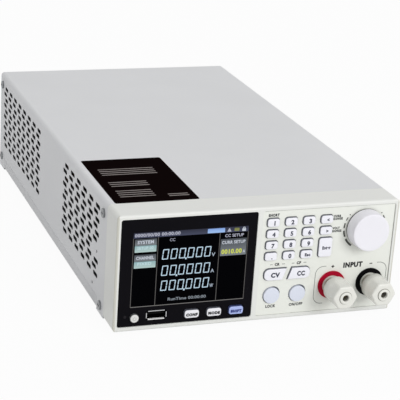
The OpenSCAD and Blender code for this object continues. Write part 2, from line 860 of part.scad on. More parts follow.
// Angled copper bars from the studs down to the main board
module bus_bars() color("#b8733c") for (u = posts) difference() {
  union() {
    slab(q_bus, q_bus + bus_t) translate([u - bus_w / 2, main_top])
      square([bus_w, post_v + bus_w / 2 - main_top]);
    rise(main_top, main_top + bus_t) translate([u - bus_w / 2, q_bus])
      square([bus_w, bus_foot]);
  }
  facing(u, q_bus + bus_t + cut, post_v)
    cylinder(d = stud_rear_d + 2 * fit_gap, h = bus_t + 2 * cut);
}

// Hollow screw cap: a round sleeve, six flats cut on its head and a ringed face
module cap(i) color("#e6e3d8") facing(posts[i], q_cap, post_v) difference() {
  total = post_out + q_cap;
  sleeve_l = total - head_l;
  union() {
    cylinder(d = cap_d, h = sleeve_l);
    translate([0, 0, sleeve_l - eps]) intersection() {
      cylinder(d = head_d / cos(30), h = head_l - collar_t, $fn = 6);
      cylinder(d = cap_d, h = head_l);
    }
    translate([0, 0, total - collar_t - eps]) cylinder(d = collar_d, h = collar_t + eps);
  }
  translate([0, 0, -cut]) cylinder(d = insert_d + 2 * shaft_gap, h = total - cap_face + cut);
  cylinder(d = socket_d + 2 * fit_gap, h = 2 * total);
}

// Threaded brass insert inside a cap's sleeve
module insert(i) color("#c7b27a") facing(posts[i], q_cap - insert_in, post_v) difference() {
  cylinder(d = insert_d, h = insert_l);
  translate([0, 0, -cut]) cylinder(d = stud_d + 2 * fit_gap, h = insert_l + 2 * cut);
}

// Slotted U-shaped cover with full-height legs at both ends
module top_cover() color("#c9ccce") difference() {
  slab(frame_d + fit_gap, case_d) difference() {
    cover_outline(0);
    cover_outline(sheet_t);
  }
  across(-cut, case_w + cut) {
    translate([q_tongue, -cut]) square([case_d - leg_rear - q_tongue, seam_v + cut]);
    vent_slots();
  }
  at_side_screws() screw_hole();
}

// Outline of the cover's U, moved in by t
module cover_outline(t) {
  r = bend_r - t;
  translate([t, -2 * t]) {
    square([case_w - 2 * t, case_h + t - r]);
    translate([r, 0]) square([case_w - 2 * t - 2 * r, case_h + t]);
    for (u = [r, case_w - 2 * t - r]) translate([u, case_h + t - r]) circle(r);
  }
}

// Rows of slots and the two small holes, seen from the side
module vent_slots() {
  for (row = [0:rows - 1]) {
    shift = (row % 2) * row_shift;
    v = case_h - slots_down - row * row_pitch;
    first = row == hole_row || row == hole_row + 1 ? 1 : 0;
    for (k = [first:front_slots - 1])
      translate([slots_front + k * slot_pitch + shift, v]) vent_slot();
    for (k = [0:rear_slots - 1])
      translate([case_d - slots_rear - k * slot_pitch + shift, v]) vent_slot();
  }
  translate([slots_front - slot_h / 2, case_h - slots_down - (hole_row + 0.5) * row_pitch])
    circle(d = side_hole_d);
  translate([slots_front + side_hole_back, seam_v + side_hole_up]) circle(d = side_hole_d);
}

module vent_slot() {
  square([slot_l - slot_h, slot_h], center = true);
  for (s = [-1, 1]) translate([s * (slot_l - slot_h) / 2, 0]) circle(d = slot_h);
}

// Tray with hemmed sides, pressed-in standoffs and screw holes
module bottom_tray() color("#b9bcbd") difference() {
  union() {
    rise(tray_lift, tray_top) translate([inset, frame_d + fit_gap])
      square([case_w - 2 * inset, q_panel - frame_d - fit_gap]);
    slab(q_tongue + fit_gap, case_d - leg_rear - fit_gap) {
      hem();
      translate([case_w, 0]) mirror([1, 0]) hem();
    }
    for (s = main_screws) translate([s[0], s[1], tray_top - eps])
      cylinder(d = standoff_d, h = standoff_h + eps);
  }
  at_main_screws() screw_hole();
  at_floor_screws() screw_hole();
}

// Section of the tray's side: a doubled strip outside and a flange inside the cover
module hem() {
  r = sheet_t * 0.8;
  strip = seam_v - fit_gap - tray_lift;
  translate([r, tray_lift]) square([inset + sheet_t - r, strip]);
  translate([0, tray_lift + r]) square([inset + sheet_t, strip - r]);
  translate([r, tray_lift + r]) circle(r);
  translate([inset, tray_lift]) square([sheet_t, strip + tray_flange]);
}

module rear_panel() color("#b9bcbd") difference() {
  h = case_h - inset - tray_top;
  w = case_w - 2 * inset;
  union() {
    slab(q_panel_in, q_panel) translate([inset, tray_top]) rounded(w, h, bend_r);
    slab(q_panel - flange_l, q_panel_in + eps) {
      for (u = [inset, case_w - inset - sheet_t]) translate([u, tray_top])
        square([sheet_t, h - bend_r]);
      translate([inset, tray_top]) square([w, sheet_t]);
    }
  }
  facing(mid_u, q_panel + cut, fan_v) cylinder(d = fan_bore - fan_rim, h = sheet_t + 2 * cut);
  slab(q_panel_in - cut, q_panel + cut) {
    translate([mid_u - rear_side, inlet_v])
      pill(inlet_body_w + 2 * fit_gap, inlet_body_h + 2 * fit_gap, inlet_r);
    translate([mid_u + rear_side, serial_v])
      pill(serial_body_w + 2 * fit_gap, serial_body_h + 2 * fit_gap, serial_r);
  }
  at_fan_screws() screw_hole(4 * screw_l);
  at_side_screws() screw_hole();
  at_floor_screws() screw_hole();
}

module feet() color("#232323") for (f = feet_at) translate([f[0], f[1], -foot_h])
  rotate_extrude() {
    square([foot_d / 2 - foot_edge, foot_h + tray_lift]);
    translate([0, foot_edge]) square([foot_d / 2, foot_h + tray_lift - foot_edge]);
    translate([foot_d / 2 - foot_edge, foot_edge]) intersection() {
      circle(foot_edge);
      translate([0, -foot_edge]) square(foot_edge);
    }
  }

module screws() color("#9a9da0") {
  at_side_screws() screw();
  at_floor_screws() screw();
  at_main_screws() screw();
  at_panel_screws() screw();
  at_fan_screws() screw();
}

// Main board with a mains header at its rear edge
module main_board() color("#1f5a3c") difference() {
  union() {
    rise(main_under, main_top) translate([wall_in + board_gap, q_main])
      square([case_w - 2 * wall_in - 2 * board_gap, q_main_end - q_main]);
    translate([mid_u - rear_side - header_w / 2, q_main_end - header_l, main_top - eps])
      cube([header_w, header_l, header_l]);
  }
  at_main_screws() screw_hole();
}

// Mains transformer: a laminated core round a bobbin
module transformer() color("#6b5a3a") translate([core_u, core_q, main_top]) {
  window_w = core_w / 2 - core_limb * 2;
  window_h = core_h - 2 * core_limb;
  difference() {
    translate([-core_w / 2, -core_t / 2, 0]) cube([core_w, core_t, core_h]);
    for (x = [-1, 1]) translate([x * core_w / 4, 0, core_h / 2])
      cube([window_w, core_t + 2 * cut, window_h], center = true);
  }
  for (y = [-1, 1]) translate([0, y * (core_t + winding_out) / 2, core_h / 2])
    cube([core_w / 2 + window_w, winding_out, bobbin_h], center = true);
}

module capacitors() color("#2c3040") for (i = [0, 1], j = [0, 1])
  translate([
    mid_u + standoff_d + i * (capacitor_d + capacitor_gap),
    core_q + (j - 0.5) * (capacitor_d + capacitor_gap),
    main_top
  ])
    cylinder(d = capacitor_d, h = capacitor_h);

// Heatsink: a base on the tray with a front shelf and a bank of fins
module heatsink() color("#8d9296") {
  pitch = (fin_bank - fin_t) / (fins - 1);
  rise(tray_top, sink_top) translate([mid_u - sink_w / 2, q_sink]) square([sink_w, sink_l]);
  slab(q_sink + sink_shelf, q_sink_end) for (i = [0:fins - 1])
    translate([mid_u - fin_bank / 2 + i * pitch, sink_top - eps])
      square([fin_t, fan_v + fin_bank / 2 - sink_top]);
}

// Row of flat power transistors on the shelf, legs resting on the board
module power_transistors() color("#26282b") for (i = [-2:2])
  translate([mid_u + i * transistor_pitch, q_sink + leg_in, sink_top]) {
    difference() {
      translate([-transistor_w / 2, 0, 0]) cube([transistor_w, transistor_l, transistor_t]);
      translate([0, transistor_l - transistor_t, -cut])
        cylinder(d = screw_d + 2 * fit_gap, h = transistor_t + 2 * cut);
    }
    for (x = [-1, 0, 1]) translate([x * transistor_w / 3 - leg_w / 2, -leg_l, leg_drop])
      cube([leg_w, leg_l + eps, leg_w / 2]);
  }

// Square fan frame with its spokes, hub plate and pin
module fan_frame() color("#1d1f22") {
  difference() {
    slab(q_fan, q_panel_in) translate([mid_u, fan_v]) pill(fan_size, fan_size, fan_screw_in);
    facing(mid_u, q_panel_in + cut, fan_v) cylinder(d = fan_bore, h = fan_t + 2 * cut);
    at_fan_screws() screw_hole(4 * screw_l);
  }
  slab(spoke_q, spoke_q + spoke_t) translate([mid_u, fan_v]) {
    circle(d = hub_d + spoke_w);
    for (a = [45:90:315]) rotate(a) translate([0, -spoke_w / 2])
      square([fan_bore / 2 + fan_rim / 2, spoke_w]);
  }
  facing(mid_u, spoke_q + eps, fan_v) cylinder(d = pin_d, h = rotor_l);
}

// Fan rotor: a hub with tilted blades that turns on the frame's pin
module fan_rotor() color("#2a2c30") facing(mid_u, spoke_q - rotor_gap, fan_v) difference() {
  union() {
    cylinder(d = hub_d, h = rotor_l);
    intersection() {
      for (i = [0:blades - 1]) rotate(i * 360 / blades)
        translate([fan_bore / 4, 0, rotor_l / 2]) rotate([blade_tilt, 0, 0])
          cube([fan_bore / 2, blade_t, rotor_l * 2], center = true);
      difference() {
        cylinder(d = fan_bore - 2 * fan_rise, h = rotor_l);
        translate([0, 0, -cut]) cylinder(d = hub_d - blade_t, h = rotor_l + 2 * cut);
      }
    }
  }
  translate([0, 0, -cut]) cylinder(d = pin_d + 2 * shaft_gap, h = rotor_l + 2 * cut);
}

// Wire guard: rings on crossed wires round a small hub plate, with an eye at each screw
module fan_guard() color("#b4b7ba") facing(mid_u, q_panel, fan_v) rotate([180, 0, 0]) difference() {
  reach = fan_screw * sqrt(2);
  hub_r = hub_d / 7;
  ring_step = (fan_bore / 2 - 2 * hub_r) / 3;
  union() {
    cylinder(r = hub_r, h = wire_d);
    for (i = [0:3]) translate([0, 0, wire_d * 1.15])
      rotate_extrude() translate([2 * hub_r + i * ring_step, 0]) circle(d = wire_d);
    for (a = [45:90:315]) rotate(a) {
      translate([hub_r / 2, 0, wire_d / 2]) rotate([0, 90, 0])
        cylinder(d = wire_d * 0.9, h = reach - hub_r / 2);
      translate([reach, 0, 0]) cylinder(d = screw_head_d + fan_rise, h = wire_d);
    }
  }
  for (a = [45:90:315]) rotate(a) translate([reach, 0, 0]) screw_hole();
}

// Three-pin mains inlet with its flange on the rear panel
module mains_inlet() color("#191a1c") translate([mid_u - rear_side, 0, inlet_v]) {
  difference() {
    union() {
      slab(q_panel, q_panel + inlet_flange_t) pill(inlet_w, inlet_h, 2 * inlet_r);
      slab(q_panel - inlet_l, q_panel + eps) pill(inlet_body_w, inlet_body_h, inlet_r);
    }
    slab(q_panel - inlet_cavity, q_panel + inlet_flange_t + cut)
      pill(inlet_body_w - 2 * inlet_wall, inlet_body_h - 2 * inlet_wall, inlet_r);
  }
  for (p = inlet_pins) slab(q_panel - inlet_cavity - eps, q_panel - cut)
    translate(p) square(inlet_pin, center = true);
}

// Nine-way serial socket with its two jack posts
module serial_socket() color("#aeb2b6") translate([mid_u + rear_side, 0, serial_v]) {
  slab(q_panel, q_panel + serial_flange_t) pill(serial_w, serial_h, 2 * serial_r);
  slab(q_panel - serial_in, q_panel + eps) pill(serial_body_w, serial_body_h, serial_r);
  difference() {
    slab(q_panel, q_panel + serial_out) pill(serial_nose_w, serial_nose_h, 2 * serial_r);
    slab(q_panel + serial_out - serial_rim, q_panel + serial_out + cut)
      pill(serial_nose_w - 2 * serial_rim, serial_nose_h - 2 * serial_rim, serial_r);
  }
  for (x = [-1, 1]) facing(x * jack_side, q_panel + jack_l, 0)
    cylinder(d = jack_d, h = jack_l - serial_flange_t / 2, $fn = 6);
}

// Ribbon cable from the front board, bent down to the main board
module ribbon_cable() color("#a9adb2") {
  v = case_h / 2;
  q_bend = q_board_back + ribbon_run;
  v_bend = v + ribbon_t - ribbon_bend;
  across(core_u - ribbon_w / 2, core_u + ribbon_w / 2) {
    translate([q_board_back, v]) square([ribbon_run, ribbon_t]);
    translate([q_bend, v_bend]) intersection() {
      difference() {
        circle(ribbon_bend);
        circle(ribbon_bend - ribbon_t);
      }
      square(ribbon_bend);
    }
    translate([q_bend + ribbon_bend - ribbon_t, main_top]) square([ribbon_t, v_bend - main_top]);
  }
}

// Mains leads from the inlet down to the board's header
module mains_leads() color("#7a4a2c") {
  q0 = q_main_end + lead_gap;
  q1 = q_panel - inlet_l - lead_gap;
  v0 = main_top + header_l / 2;
  run = [q1 - q0, inlet_v - v0];
  for (x = [-1, 0, 1]) translate([mid_u - rear_side + x * lead_pitch, q0, v0])
    rotate([-atan2(run[0], run[1]), 0, 0]) cylinder(d = lead_d, h = norm(run));
}

// Keys: a cap through the plate and a wider flange behind it
module key_cap(proud) slab(recess - proud, q_flange + eps) children();

module key_flange_plate() slab(q_flange, q_flange + flange_t) children();

module keypad_key(k) color("#f0f0f6") {
  key_cap(key_proud) keypad_outline(k[1], k[2], 0);
  key_flange_plate() keypad_outline(k[1], k[2], key_flange);
}

module key_enter() color("#f0f0f6") {
  key_cap(key_proud) enter_outline(0);
  key_flange_plate() enter_outline(key_flange);
}

module key_cv() color("#f0f0f6") {
  key_cap(key_proud) cv_outline(0);
  key_flange_plate() cv_outline(key_flange);
}

module key_cc() color("#f0f0f6") {
  key_cap(key_proud) cc_outline(0);
  key_flange_plate() cc_outline(key_flange);
}

module round_key(i) color("#dfe3ef") {
  key_cap(key_proud) round_outline(i, 0);
  key_flange_plate() round_outline(i, round_flange);
}

module soft_key(i) color(i == 2 ? "#9aa6dc" : "#f4f4f8") {
  key_cap(key_proud) soft_outline(i, 0);
  key_flange_plate() soft_outline(i, key_flange);
}

module power_key() color("#f1f1f1") {
  key_cap(key_proud) power_outline(0);
  key_flange_plate() power_outline(key_flange);
}

in_case() {
  front_frame();
  display_window();
  control_panel();
  lcd_module();
  front_board();
  key_mat();
  data_socket();
  status_light();
  encoder_body();
  ring(posts[0], "#b01f38");  // ring_positive
  ring(posts[1], "#141416");  // ring_negative
  post_studs();
  stud_nuts();
  bus_bars();
  top_cover();
  bottom_tray();
  rear_panel();
  feet();
  screws();
  main_board();
  transformer();
  capacitors();
  heatsink();
  power_transistors();
  fan_frame();
  fan_guard();
  mains_inlet();
  serial_socket();
  ribbon_cable();
  mains_leads();
  power_key();
  key_enter();
  key_cv();
  key_cc();
  encoder_shaft();
  control_knob();
  fan_rotor();
  for (k = KEYPAD) keypad_key(k);
  for (i = [0, 1]) round_key(i);
  for (i = [0:2]) soft_key(i);
  for (i = [0, 1]) cap(i);
  for (i = [0, 1]) insert(i);
}
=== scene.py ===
"""Looks of a bench DC electronic load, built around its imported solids.

Places are metres in the part's own frame: -Y out of the front, +X to the right and +Z up.
Prints and pictures are laid out in millimetres from the lower left corner of the plate that carries them.
"""
import json
import math
import bpy
import numpy as np
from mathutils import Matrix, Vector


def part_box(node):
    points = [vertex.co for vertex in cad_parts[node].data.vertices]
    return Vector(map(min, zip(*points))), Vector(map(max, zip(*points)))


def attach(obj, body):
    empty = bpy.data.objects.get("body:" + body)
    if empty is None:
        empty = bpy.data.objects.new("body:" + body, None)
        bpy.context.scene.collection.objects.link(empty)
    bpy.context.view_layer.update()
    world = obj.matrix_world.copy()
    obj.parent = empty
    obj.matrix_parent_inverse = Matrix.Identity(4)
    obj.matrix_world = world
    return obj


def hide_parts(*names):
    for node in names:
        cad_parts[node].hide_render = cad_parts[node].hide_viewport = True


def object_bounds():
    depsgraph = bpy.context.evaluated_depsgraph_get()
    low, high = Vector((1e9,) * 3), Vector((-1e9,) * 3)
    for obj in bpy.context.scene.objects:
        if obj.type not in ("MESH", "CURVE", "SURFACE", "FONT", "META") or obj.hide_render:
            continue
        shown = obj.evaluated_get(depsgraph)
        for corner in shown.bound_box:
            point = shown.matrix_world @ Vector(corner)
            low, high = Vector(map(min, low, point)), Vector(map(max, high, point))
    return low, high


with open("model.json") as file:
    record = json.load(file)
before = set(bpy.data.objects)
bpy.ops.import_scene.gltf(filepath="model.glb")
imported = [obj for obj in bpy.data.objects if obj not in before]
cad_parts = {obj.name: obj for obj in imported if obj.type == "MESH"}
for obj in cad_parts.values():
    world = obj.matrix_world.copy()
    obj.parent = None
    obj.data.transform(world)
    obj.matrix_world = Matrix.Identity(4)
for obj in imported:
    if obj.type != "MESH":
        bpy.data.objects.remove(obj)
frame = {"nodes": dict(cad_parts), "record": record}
cad_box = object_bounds()

MM = 0.001
SLOT_OF = {row["node"]: row["material_slot"] for row in frame["record"]["subparts"]}

# Thin layers on the front, in millimetres
INK_PROUD = 0.02
INK_DEEP = 0.1
LAYER = 0.03

# Smallest radius of a round corner
LEAST_R = 0.001 * MM


def node_points(node):
    """A node's corner points at rest, as rows of x, y and z."""
    mesh = frame["nodes"][node].data
    points = np.empty(3 * len(mesh.vertices))
    mesh.vertices.foreach_get("co", points)
    return points.reshape(-1, 3)


def node_box(node):
    """A node's lowest and highest corners as arrays."""
    low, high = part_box(node)
    return np.array(low), np.array(high)


def middle_of(node):
    """The x and z of a node's middle."""
    low, high = node_box(node)
    return (low + high)[[0, 2]] / 2


def ink_depths(face):
    """Front and back depths of a print on a face at a depth."""
    return face - INK_PROUD * MM, face + INK_DEEP * MM


# Shapes: a shape is its points, its four-sided faces and its triangles


def turned_out(points, quads, tris):
    """The same closed skin with its faces turned so that the volume inside it comes out positive."""
    halves = np.concatenate([quads[:, [0, 1, 2]], quads[:, [0, 2, 3]], tris])
    a, b, c = np.moveaxis((points - points.mean(0))[halves], 1, 0)
    if np.einsum("ij,ij->", a, np.cross(b, c)) < 0:
        quads, tris = quads[:, ::-1], tris[:, ::-1]
    return points, quads, tris


def skin(rings, loop=False):
    """Closed skin over an array of rings by points by 3.

    Neighbouring rings are joined by quads, and each ring closes on itself. The skin ends in a fan to the
    middle of its first and its last ring, or where loop is set the last ring joins the first.
    """
    rings = np.asarray(rings, float)
    count, size = rings.shape[:2]
    i = np.arange(count if loop else count - 1)[:, None]
    j = np.arange(size)[None, :]
    row, next_row, next_j = i * size, (i + 1) % count * size, (j + 1) % size
    quads = np.stack(np.broadcast_arrays(row + j, row + next_j, next_row + next_j, next_row + j), -1)
    points = rings.reshape(-1, 3)
    tris = np.zeros((0, 3), int)
    if not loop:
        j, next_j, pole = j[0], next_j[0], np.full(size, len(points))
        last = (count - 1) * size
        fans = [np.stack([next_j, j, pole], -1), np.stack([last + j, last + next_j, pole + 1], -1)]
        tris = np.concatenate(fans)
        points = np.concatenate([points, rings[[0, -1]].mean(1)])
    return turned_out(points, quads.reshape(-1, 4), tris)


def joined(shapes):
    """One shape out of several: each one's face numbers move past the points before it."""
    shapes = list(shapes)
    starts = np.cumsum([0] + [len(points) for points, _, _ in shapes])
    points = np.concatenate([points for points, _, _ in shapes])
    quads = np.concatenate([quads + start for (_, quads, _), start in zip(shapes, starts)])
    tris = np.concatenate([tris + start for (_, _, tris), start in zip(shapes, starts)])
    return points, quads, tris


def upright(flat, depth):
    """Points of the front's plane, x and z, set at a depth y."""
    flat = np.asarray(flat, float)
    return np.stack([flat[..., 0], np.broadcast_to(depth, flat.shape[:-1]), flat[..., 1]], -1)


def box_corners(left, low, right, high):
    """Corners of an upright rectangle, going anticlockwise as seen from the front."""
    return np.array([[left, low], [right, low], [right, high], [left, high]], float)


def round_outline(corners, radii, inset=0.0, steps=6):
    """Convex outline with round corners, moved inwards by inset, going anticlockwise.

    Each corner is an arc about the point where its two edges, both moved in by the radius, would cross.
    It runs from one edge's outward normal to the next one's, and inset shortens its radius.
    """
    corners = np.asarray(corners, float)
    radii = np.maximum(np.broadcast_to(radii, len(corners)), inset + LEAST_R)
    edge_in = corners - np.roll(corners, 1, 0)
    edge_out = np.roll(corners, -1, 0) - corners
    start = np.arctan2(-edge_in[:, 0], edge_in[:, 1])
    turn = (np.arctan2(-edge_out[:, 0], edge_out[:, 1]) - start) % (2 * np.pi)
    middle = start + turn / 2
    outward = np.stack([np.cos(middle), np.sin(middle)], -1)
    centres = corners - (radii / np.cos(turn / 2))[:, None] * outward
    angles = start[:, None] + turn[:, None] * np.linspace(0, 1, steps)
    arcs = (radii - inset)[:, None, None] * np.stack([np.cos(angles), np.sin(angles)], -1)
    return (centres[:, None] + arcs).reshape(-1, 2)


def slab(outline, front, back):
    """Closed plate: one outline at two depths, with a fan over each face."""
    return skin(np.stack([upright(outline, back), upright(outline, front)]))


def line(path, width, front, back):
    """A drawn line: a rectangular section carried along a path, half the width to each side of it.

    The width is one number, or one for each point of the path.
    """
    path = np.asarray(path, float)
    along = np.gradient(path, axis=0)
    along /= np.linalg.norm(along, axis=1, keepdims=True)
    side = np.stack([-along[:, 1], along[:, 0]], -1) * np.broadcast_to(width, len(path))[:, None] / 2
    rings = [upright(path + side, back), upright(path + side, front),
             upright(path - side, front), upright(path - side, back)]
    return skin(np.stack(rings, 1))


LETTER_ROOM, LETTER_STEPS, LETTER_HALF = 2.5, 4, 0.5


def letters(words, weight):
    """Solid letters of the built-in font at size 1, one unit thick, as points and triangles.

    The weight widens every stroke, and the letters move apart to make room for it.
    """
    curve = bpy.data.curves.new("letters", "FONT")
    curve.body = words
    curve.offset = weight
    curve.space_character = 1 + LETTER_ROOM * weight
    curve.extrude = LETTER_HALF
    curve.resolution_u = LETTER_STEPS
    holder = bpy.data.objects.new("letters", curve)
    bpy.context.scene.collection.objects.link(holder)
    bpy.context.view_layer.update()
    mesh = bpy.data.meshes.new_from_object(holder.evaluated_get(bpy.context.evaluated_depsgraph_get()))
    mesh.calc_loop_triangles()
    points = np.empty(3 * len(mesh.vertices))
    mesh.vertices.foreach_get("co", points)
    tris = np.empty(3 * len(mesh.loop_triangles), np.int32)
    mesh.loop_triangles.foreach_get("vertices", tris)
    bpy.data.objects.remove(holder)
    bpy.data.curves.remove(curve)
    bpy.data.meshes.remove(mesh)
    points, numbers = np.unique(points.reshape(-1, 3).round(5), axis=0, return_inverse=True)
    tris = numbers.reshape(-1)[tris.reshape(-1, 3)]
    whole = (tris != np.roll(tris, 1, 1)).all(1)
    return points, tris[whole]


CAP_HEIGHT = np.ptp(letters("H", 0.0)[0][:, 1])


def lettering(words, x, z, cap, front, back, weight=0.0, span=None):
    """Words centred on x and on half their capital height at z, with capitals of height cap.

    The font's x, y and z become the front's x, z and depth, so the letters' front lies at front.
    A span stretches the words to that width.
    """
    points, tris = letters(words, weight)
    scale = cap / CAP_HEIGHT
    middle = (points[:, 0].min() + points[:, 0].max()) / 2
    across = span / np.ptp(points[:, 0]) if span else scale
    points = np.stack([x + (points[:, 0] - middle) * across,
                       front + (LETTER_HALF - points[:, 2]) * (back - front),
                       z + points[:, 1] * scale - cap / 2], -1)
    return points, np.zeros((0, 4), int), tris


def add_piece(name, shape, material, body, replaces=None, marks=None, crease=32):
    """A shape as a named piece that rides on a body, smooth up to the crease angle in degrees."""
    points, quads, tris = shape
    mesh = bpy.data.meshes.new(name)
    mesh.from_pydata(points, [], quads.tolist() + tris.tolist())
    mesh.polygons.foreach_set("use_smooth", np.ones(len(mesh.polygons), bool))
    mesh.set_sharp_from_angle(angle=math.radians(crease))
    for mark, values in (marks or {}).items():
        mesh.attributes.new(mark, "FLOAT", "POINT").data.foreach_set("value", values)
    mesh.materials.append(material)
    piece = bpy.data.objects.new(name, mesh)
    bpy.context.scene.collection.objects.link(piece)
    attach(piece, body)
    if replaces:
        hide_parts(replaces)
    return piece


# Finishes: patterns are node groups, shared by the materials


def colour(red, green, blue):
    """A screen colour, 0 to 255, as the linear colour that the shaders use."""
    share = np.array([red, green, blue]) / 255
    linear = np.where(share <= 0.04045, share / 12.92, ((share + 0.055) / 1.055) ** 2.4)
    return (*linear.tolist(), 1.0)


def feed(tree, socket, source):
    """Links a socket to another node's output, or sets it to a plain value."""
    if isinstance(source, bpy.types.NodeSocket):
        tree.links.new(source, socket)
    else:
        socket.default_value = source


def add_node(tree, kind, **settings):
    """A node of the kind, with its properties set and its named sockets fed."""
    node = tree.nodes.new(kind)
    for key, value in settings.items():
        if key in node.inputs:
            feed(tree, node.inputs[key], value)
        else:
            setattr(node, key, value)
    return node


def maths(tree, operation, *sources, kind="ShaderNodeMath", **settings):
    """The result of a sum on sockets or plain numbers."""
    node = add_node(tree, kind, operation=operation, **settings)
    for socket, source in zip(node.inputs, sources):
        feed(tree, socket, source)
    return node.outputs[0]


def vectors(tree, operation, *sources):
    """The result of a sum on vectors."""
    return maths(tree, operation, *sources, kind="ShaderNodeVectorMath")


def ranged(tree, value, from_min, from_max, to_min, to_max):
    """A value spread from one range over another."""
    limits = {"From Min": from_min, "From Max": from_max, "To Min": to_min, "To Max": to_max}
    return add_node(tree, "ShaderNodeMapRange", Value=value, **limits).outputs["Result"]


def noise(tree, place, scale, **settings):
    """Plain noise, from 0 to 1."""
    return add_node(tree, "ShaderNodeTexNoise", Vector=place, Scale=scale, **settings).outputs["Fac"]


def tinted_by(tree, tint, value):
    """A colour scaled by a value."""
    return add_node(tree, "ShaderNodeVectorMath", operation="SCALE", Vector=tint, Scale=value).outputs[0]


def new_pattern(name, inputs, outputs):
    """An empty node group with named sockets: its tree, its inputs, its outputs and the point's place."""
    tree = bpy.data.node_groups.new(name, "ShaderNodeTree")
    for side, sockets in (("INPUT", inputs), ("OUTPUT", outputs)):
        for label, kind in sockets.items():
            tree.interface.new_socket(label, in_out=side, socket_type=f"NodeSocket{kind}")
    given = tree.nodes.new("NodeGroupInput").outputs
    result = tree.nodes.new("NodeGroupOutput").inputs
    return tree, given, result, tree.nodes.new("ShaderNodeTexCoord").outputs["Object"]


SURFACE_IN = {"Colour": "Color", "Size": "Float", "Patch": "Float"}
SURFACE_OUT = {"Colour": "Color", "Gloss": "Float", "Height": "Float"}

# The patterns' own scales, in cells for each metre, and their shares
PATCHES, PATCH_LOW, PATCH_HIGH = 22.0, 0.3, 0.7
PAINT_GRAIN, PAINT_GRAIN_SHARE = 2600.0, 0.25
DRAWN_STRETCH = (1.0, 0.01, 1.0)
DOT_LINE = 0.15
GLOSS_LOW, GLOSS_HIGH = 0.2, 0.8
UNLIT = (0.002, 0.002, 0.003, 1.0)


def patched(tree, given, result, place):
    """Lighter and darker patches: a broad noise scales the colour by 1 less Patch to 1 plus Patch."""
    broad = noise(tree, place, PATCHES, Detail=3.0)
    low = maths(tree, "SUBTRACT", 1.0, given["Patch"])
    high = maths(tree, "ADD", 1.0, given["Patch"])
    spread = ranged(tree, broad, PATCH_LOW, PATCH_HIGH, low, high)
    feed(tree, result["Colour"], tinted_by(tree, given["Colour"], spread))
    return broad


def moulded_grain():
    """Spark-eroded mould texture: fine noise for the height, and a mix of fine and broad for the gloss."""
    tree, given, result, place = new_pattern("moulded_grain", SURFACE_IN, SURFACE_OUT)
    fine = noise(tree, place, maths(tree, "DIVIDE", 1.0, given["Size"]), Detail=2.0, Roughness=0.6)
    broad = patched(tree, given, result, place)
    feed(tree, result["Gloss"], maths(tree, "MULTIPLY", fine, broad))
    feed(tree, result["Height"], fine)
    return tree


def paint_peel():
    """Powder coat: soft round cells give the orange peel, and a fine noise sits on top of them."""
    tree, given, result, place = new_pattern("paint_peel", SURFACE_IN, SURFACE_OUT)
    scale = maths(tree, "DIVIDE", 1.0, given["Size"])
    peel = {"Vector": place, "Scale": scale, "Smoothness": 0.8}
    cells = add_node(tree, "ShaderNodeTexVoronoi", feature="SMOOTH_F1", **peel).outputs["Distance"]
    fine = noise(tree, place, PAINT_GRAIN, Detail=2.0)
    patched(tree, given, result, place)
    feed(tree, result["Gloss"], fine)
    feed(tree, result["Height"], maths(tree, "MULTIPLY_ADD", fine, PAINT_GRAIN_SHARE, cells))
    return tree


def drawn_lines():
    """Drawn or brushed metal: noise stretched a hundredfold along the depth."""
    tree, given, result, place = new_pattern("drawn_lines", SURFACE_IN, SURFACE_OUT)
    along = add_node(tree, "ShaderNodeMapping", Vector=place, Scale=DRAWN_STRETCH).outputs[0]
    lines = noise(tree, along, maths(tree, "DIVIDE", 1.0, given["Size"]), Detail=3.0)
    patched(tree, given, result, place)
    feed(tree, result["Gloss"], lines)
    feed(tree, result["Height"], lines)
    return tree


def picture_dots():
    """A display's dots: the colour dims to 1 less Patch on the lines between dots, Size apart."""
    tree, given, result, place = new_pattern("picture_dots", SURFACE_IN, SURFACE_OUT)
    parts = add_node(tree, "ShaderNodeSeparateXYZ", Vector=place).outputs
    waves = [maths(tree, "PINGPONG", maths(tree, "DIVIDE", parts[axis], given["Size"]), 0.5) for axis in "XZ"]
    nearest = maths(tree, "MINIMUM", *waves)
    dim = ranged(tree, nearest, 0.0, DOT_LINE, maths(tree, "SUBTRACT", 1.0, given["Patch"]), 1.0)
    feed(tree, result["Colour"], tinted_by(tree, given["Colour"], dim))
    feed(tree, result["Gloss"], dim)
    feed(tree, result["Height"], nearest)
    return tree


def inside_box():
    """1 where a point lies between the corners Low and High, and 0 elsewhere."""
    corners = {"Low": "Vector", "High": "Vector"}
    tree, given, result, place = new_pattern("inside_box", corners, {"Mask": "Float"})
    above = vectors(tree, "SUBTRACT", place, given["Low"])
    below = vectors(tree, "SUBTRACT", given["High"], place)
    parts = add_node(tree, "ShaderNodeSeparateXYZ", Vector=vectors(tree, "MINIMUM", above, below)).outputs
    least = maths(tree, "MINIMUM", maths(tree, "MINIMUM", parts["X"], parts["Y"]), parts["Z"])
    feed(tree, result["Mask"], maths(tree, "GREATER_THAN", least, 0.0))
    return tree


GRAIN, PEEL, DRAWN, DOTS = moulded_grain(), paint_peel(), drawn_lines(), picture_dots()
INSIDE = inside_box()


def mixed(tree, share, first, tone):
    """A colour that goes over to a tone as the share goes to 1."""
    mix = add_node(tree, "ShaderNodeMix", data_type="RGBA")
    for label, source in (("Factor", share), ("A", first), ("B", colour(*tone))):
        feed(tree, mix.inputs[label], source)
    return mix.outputs["Result"]


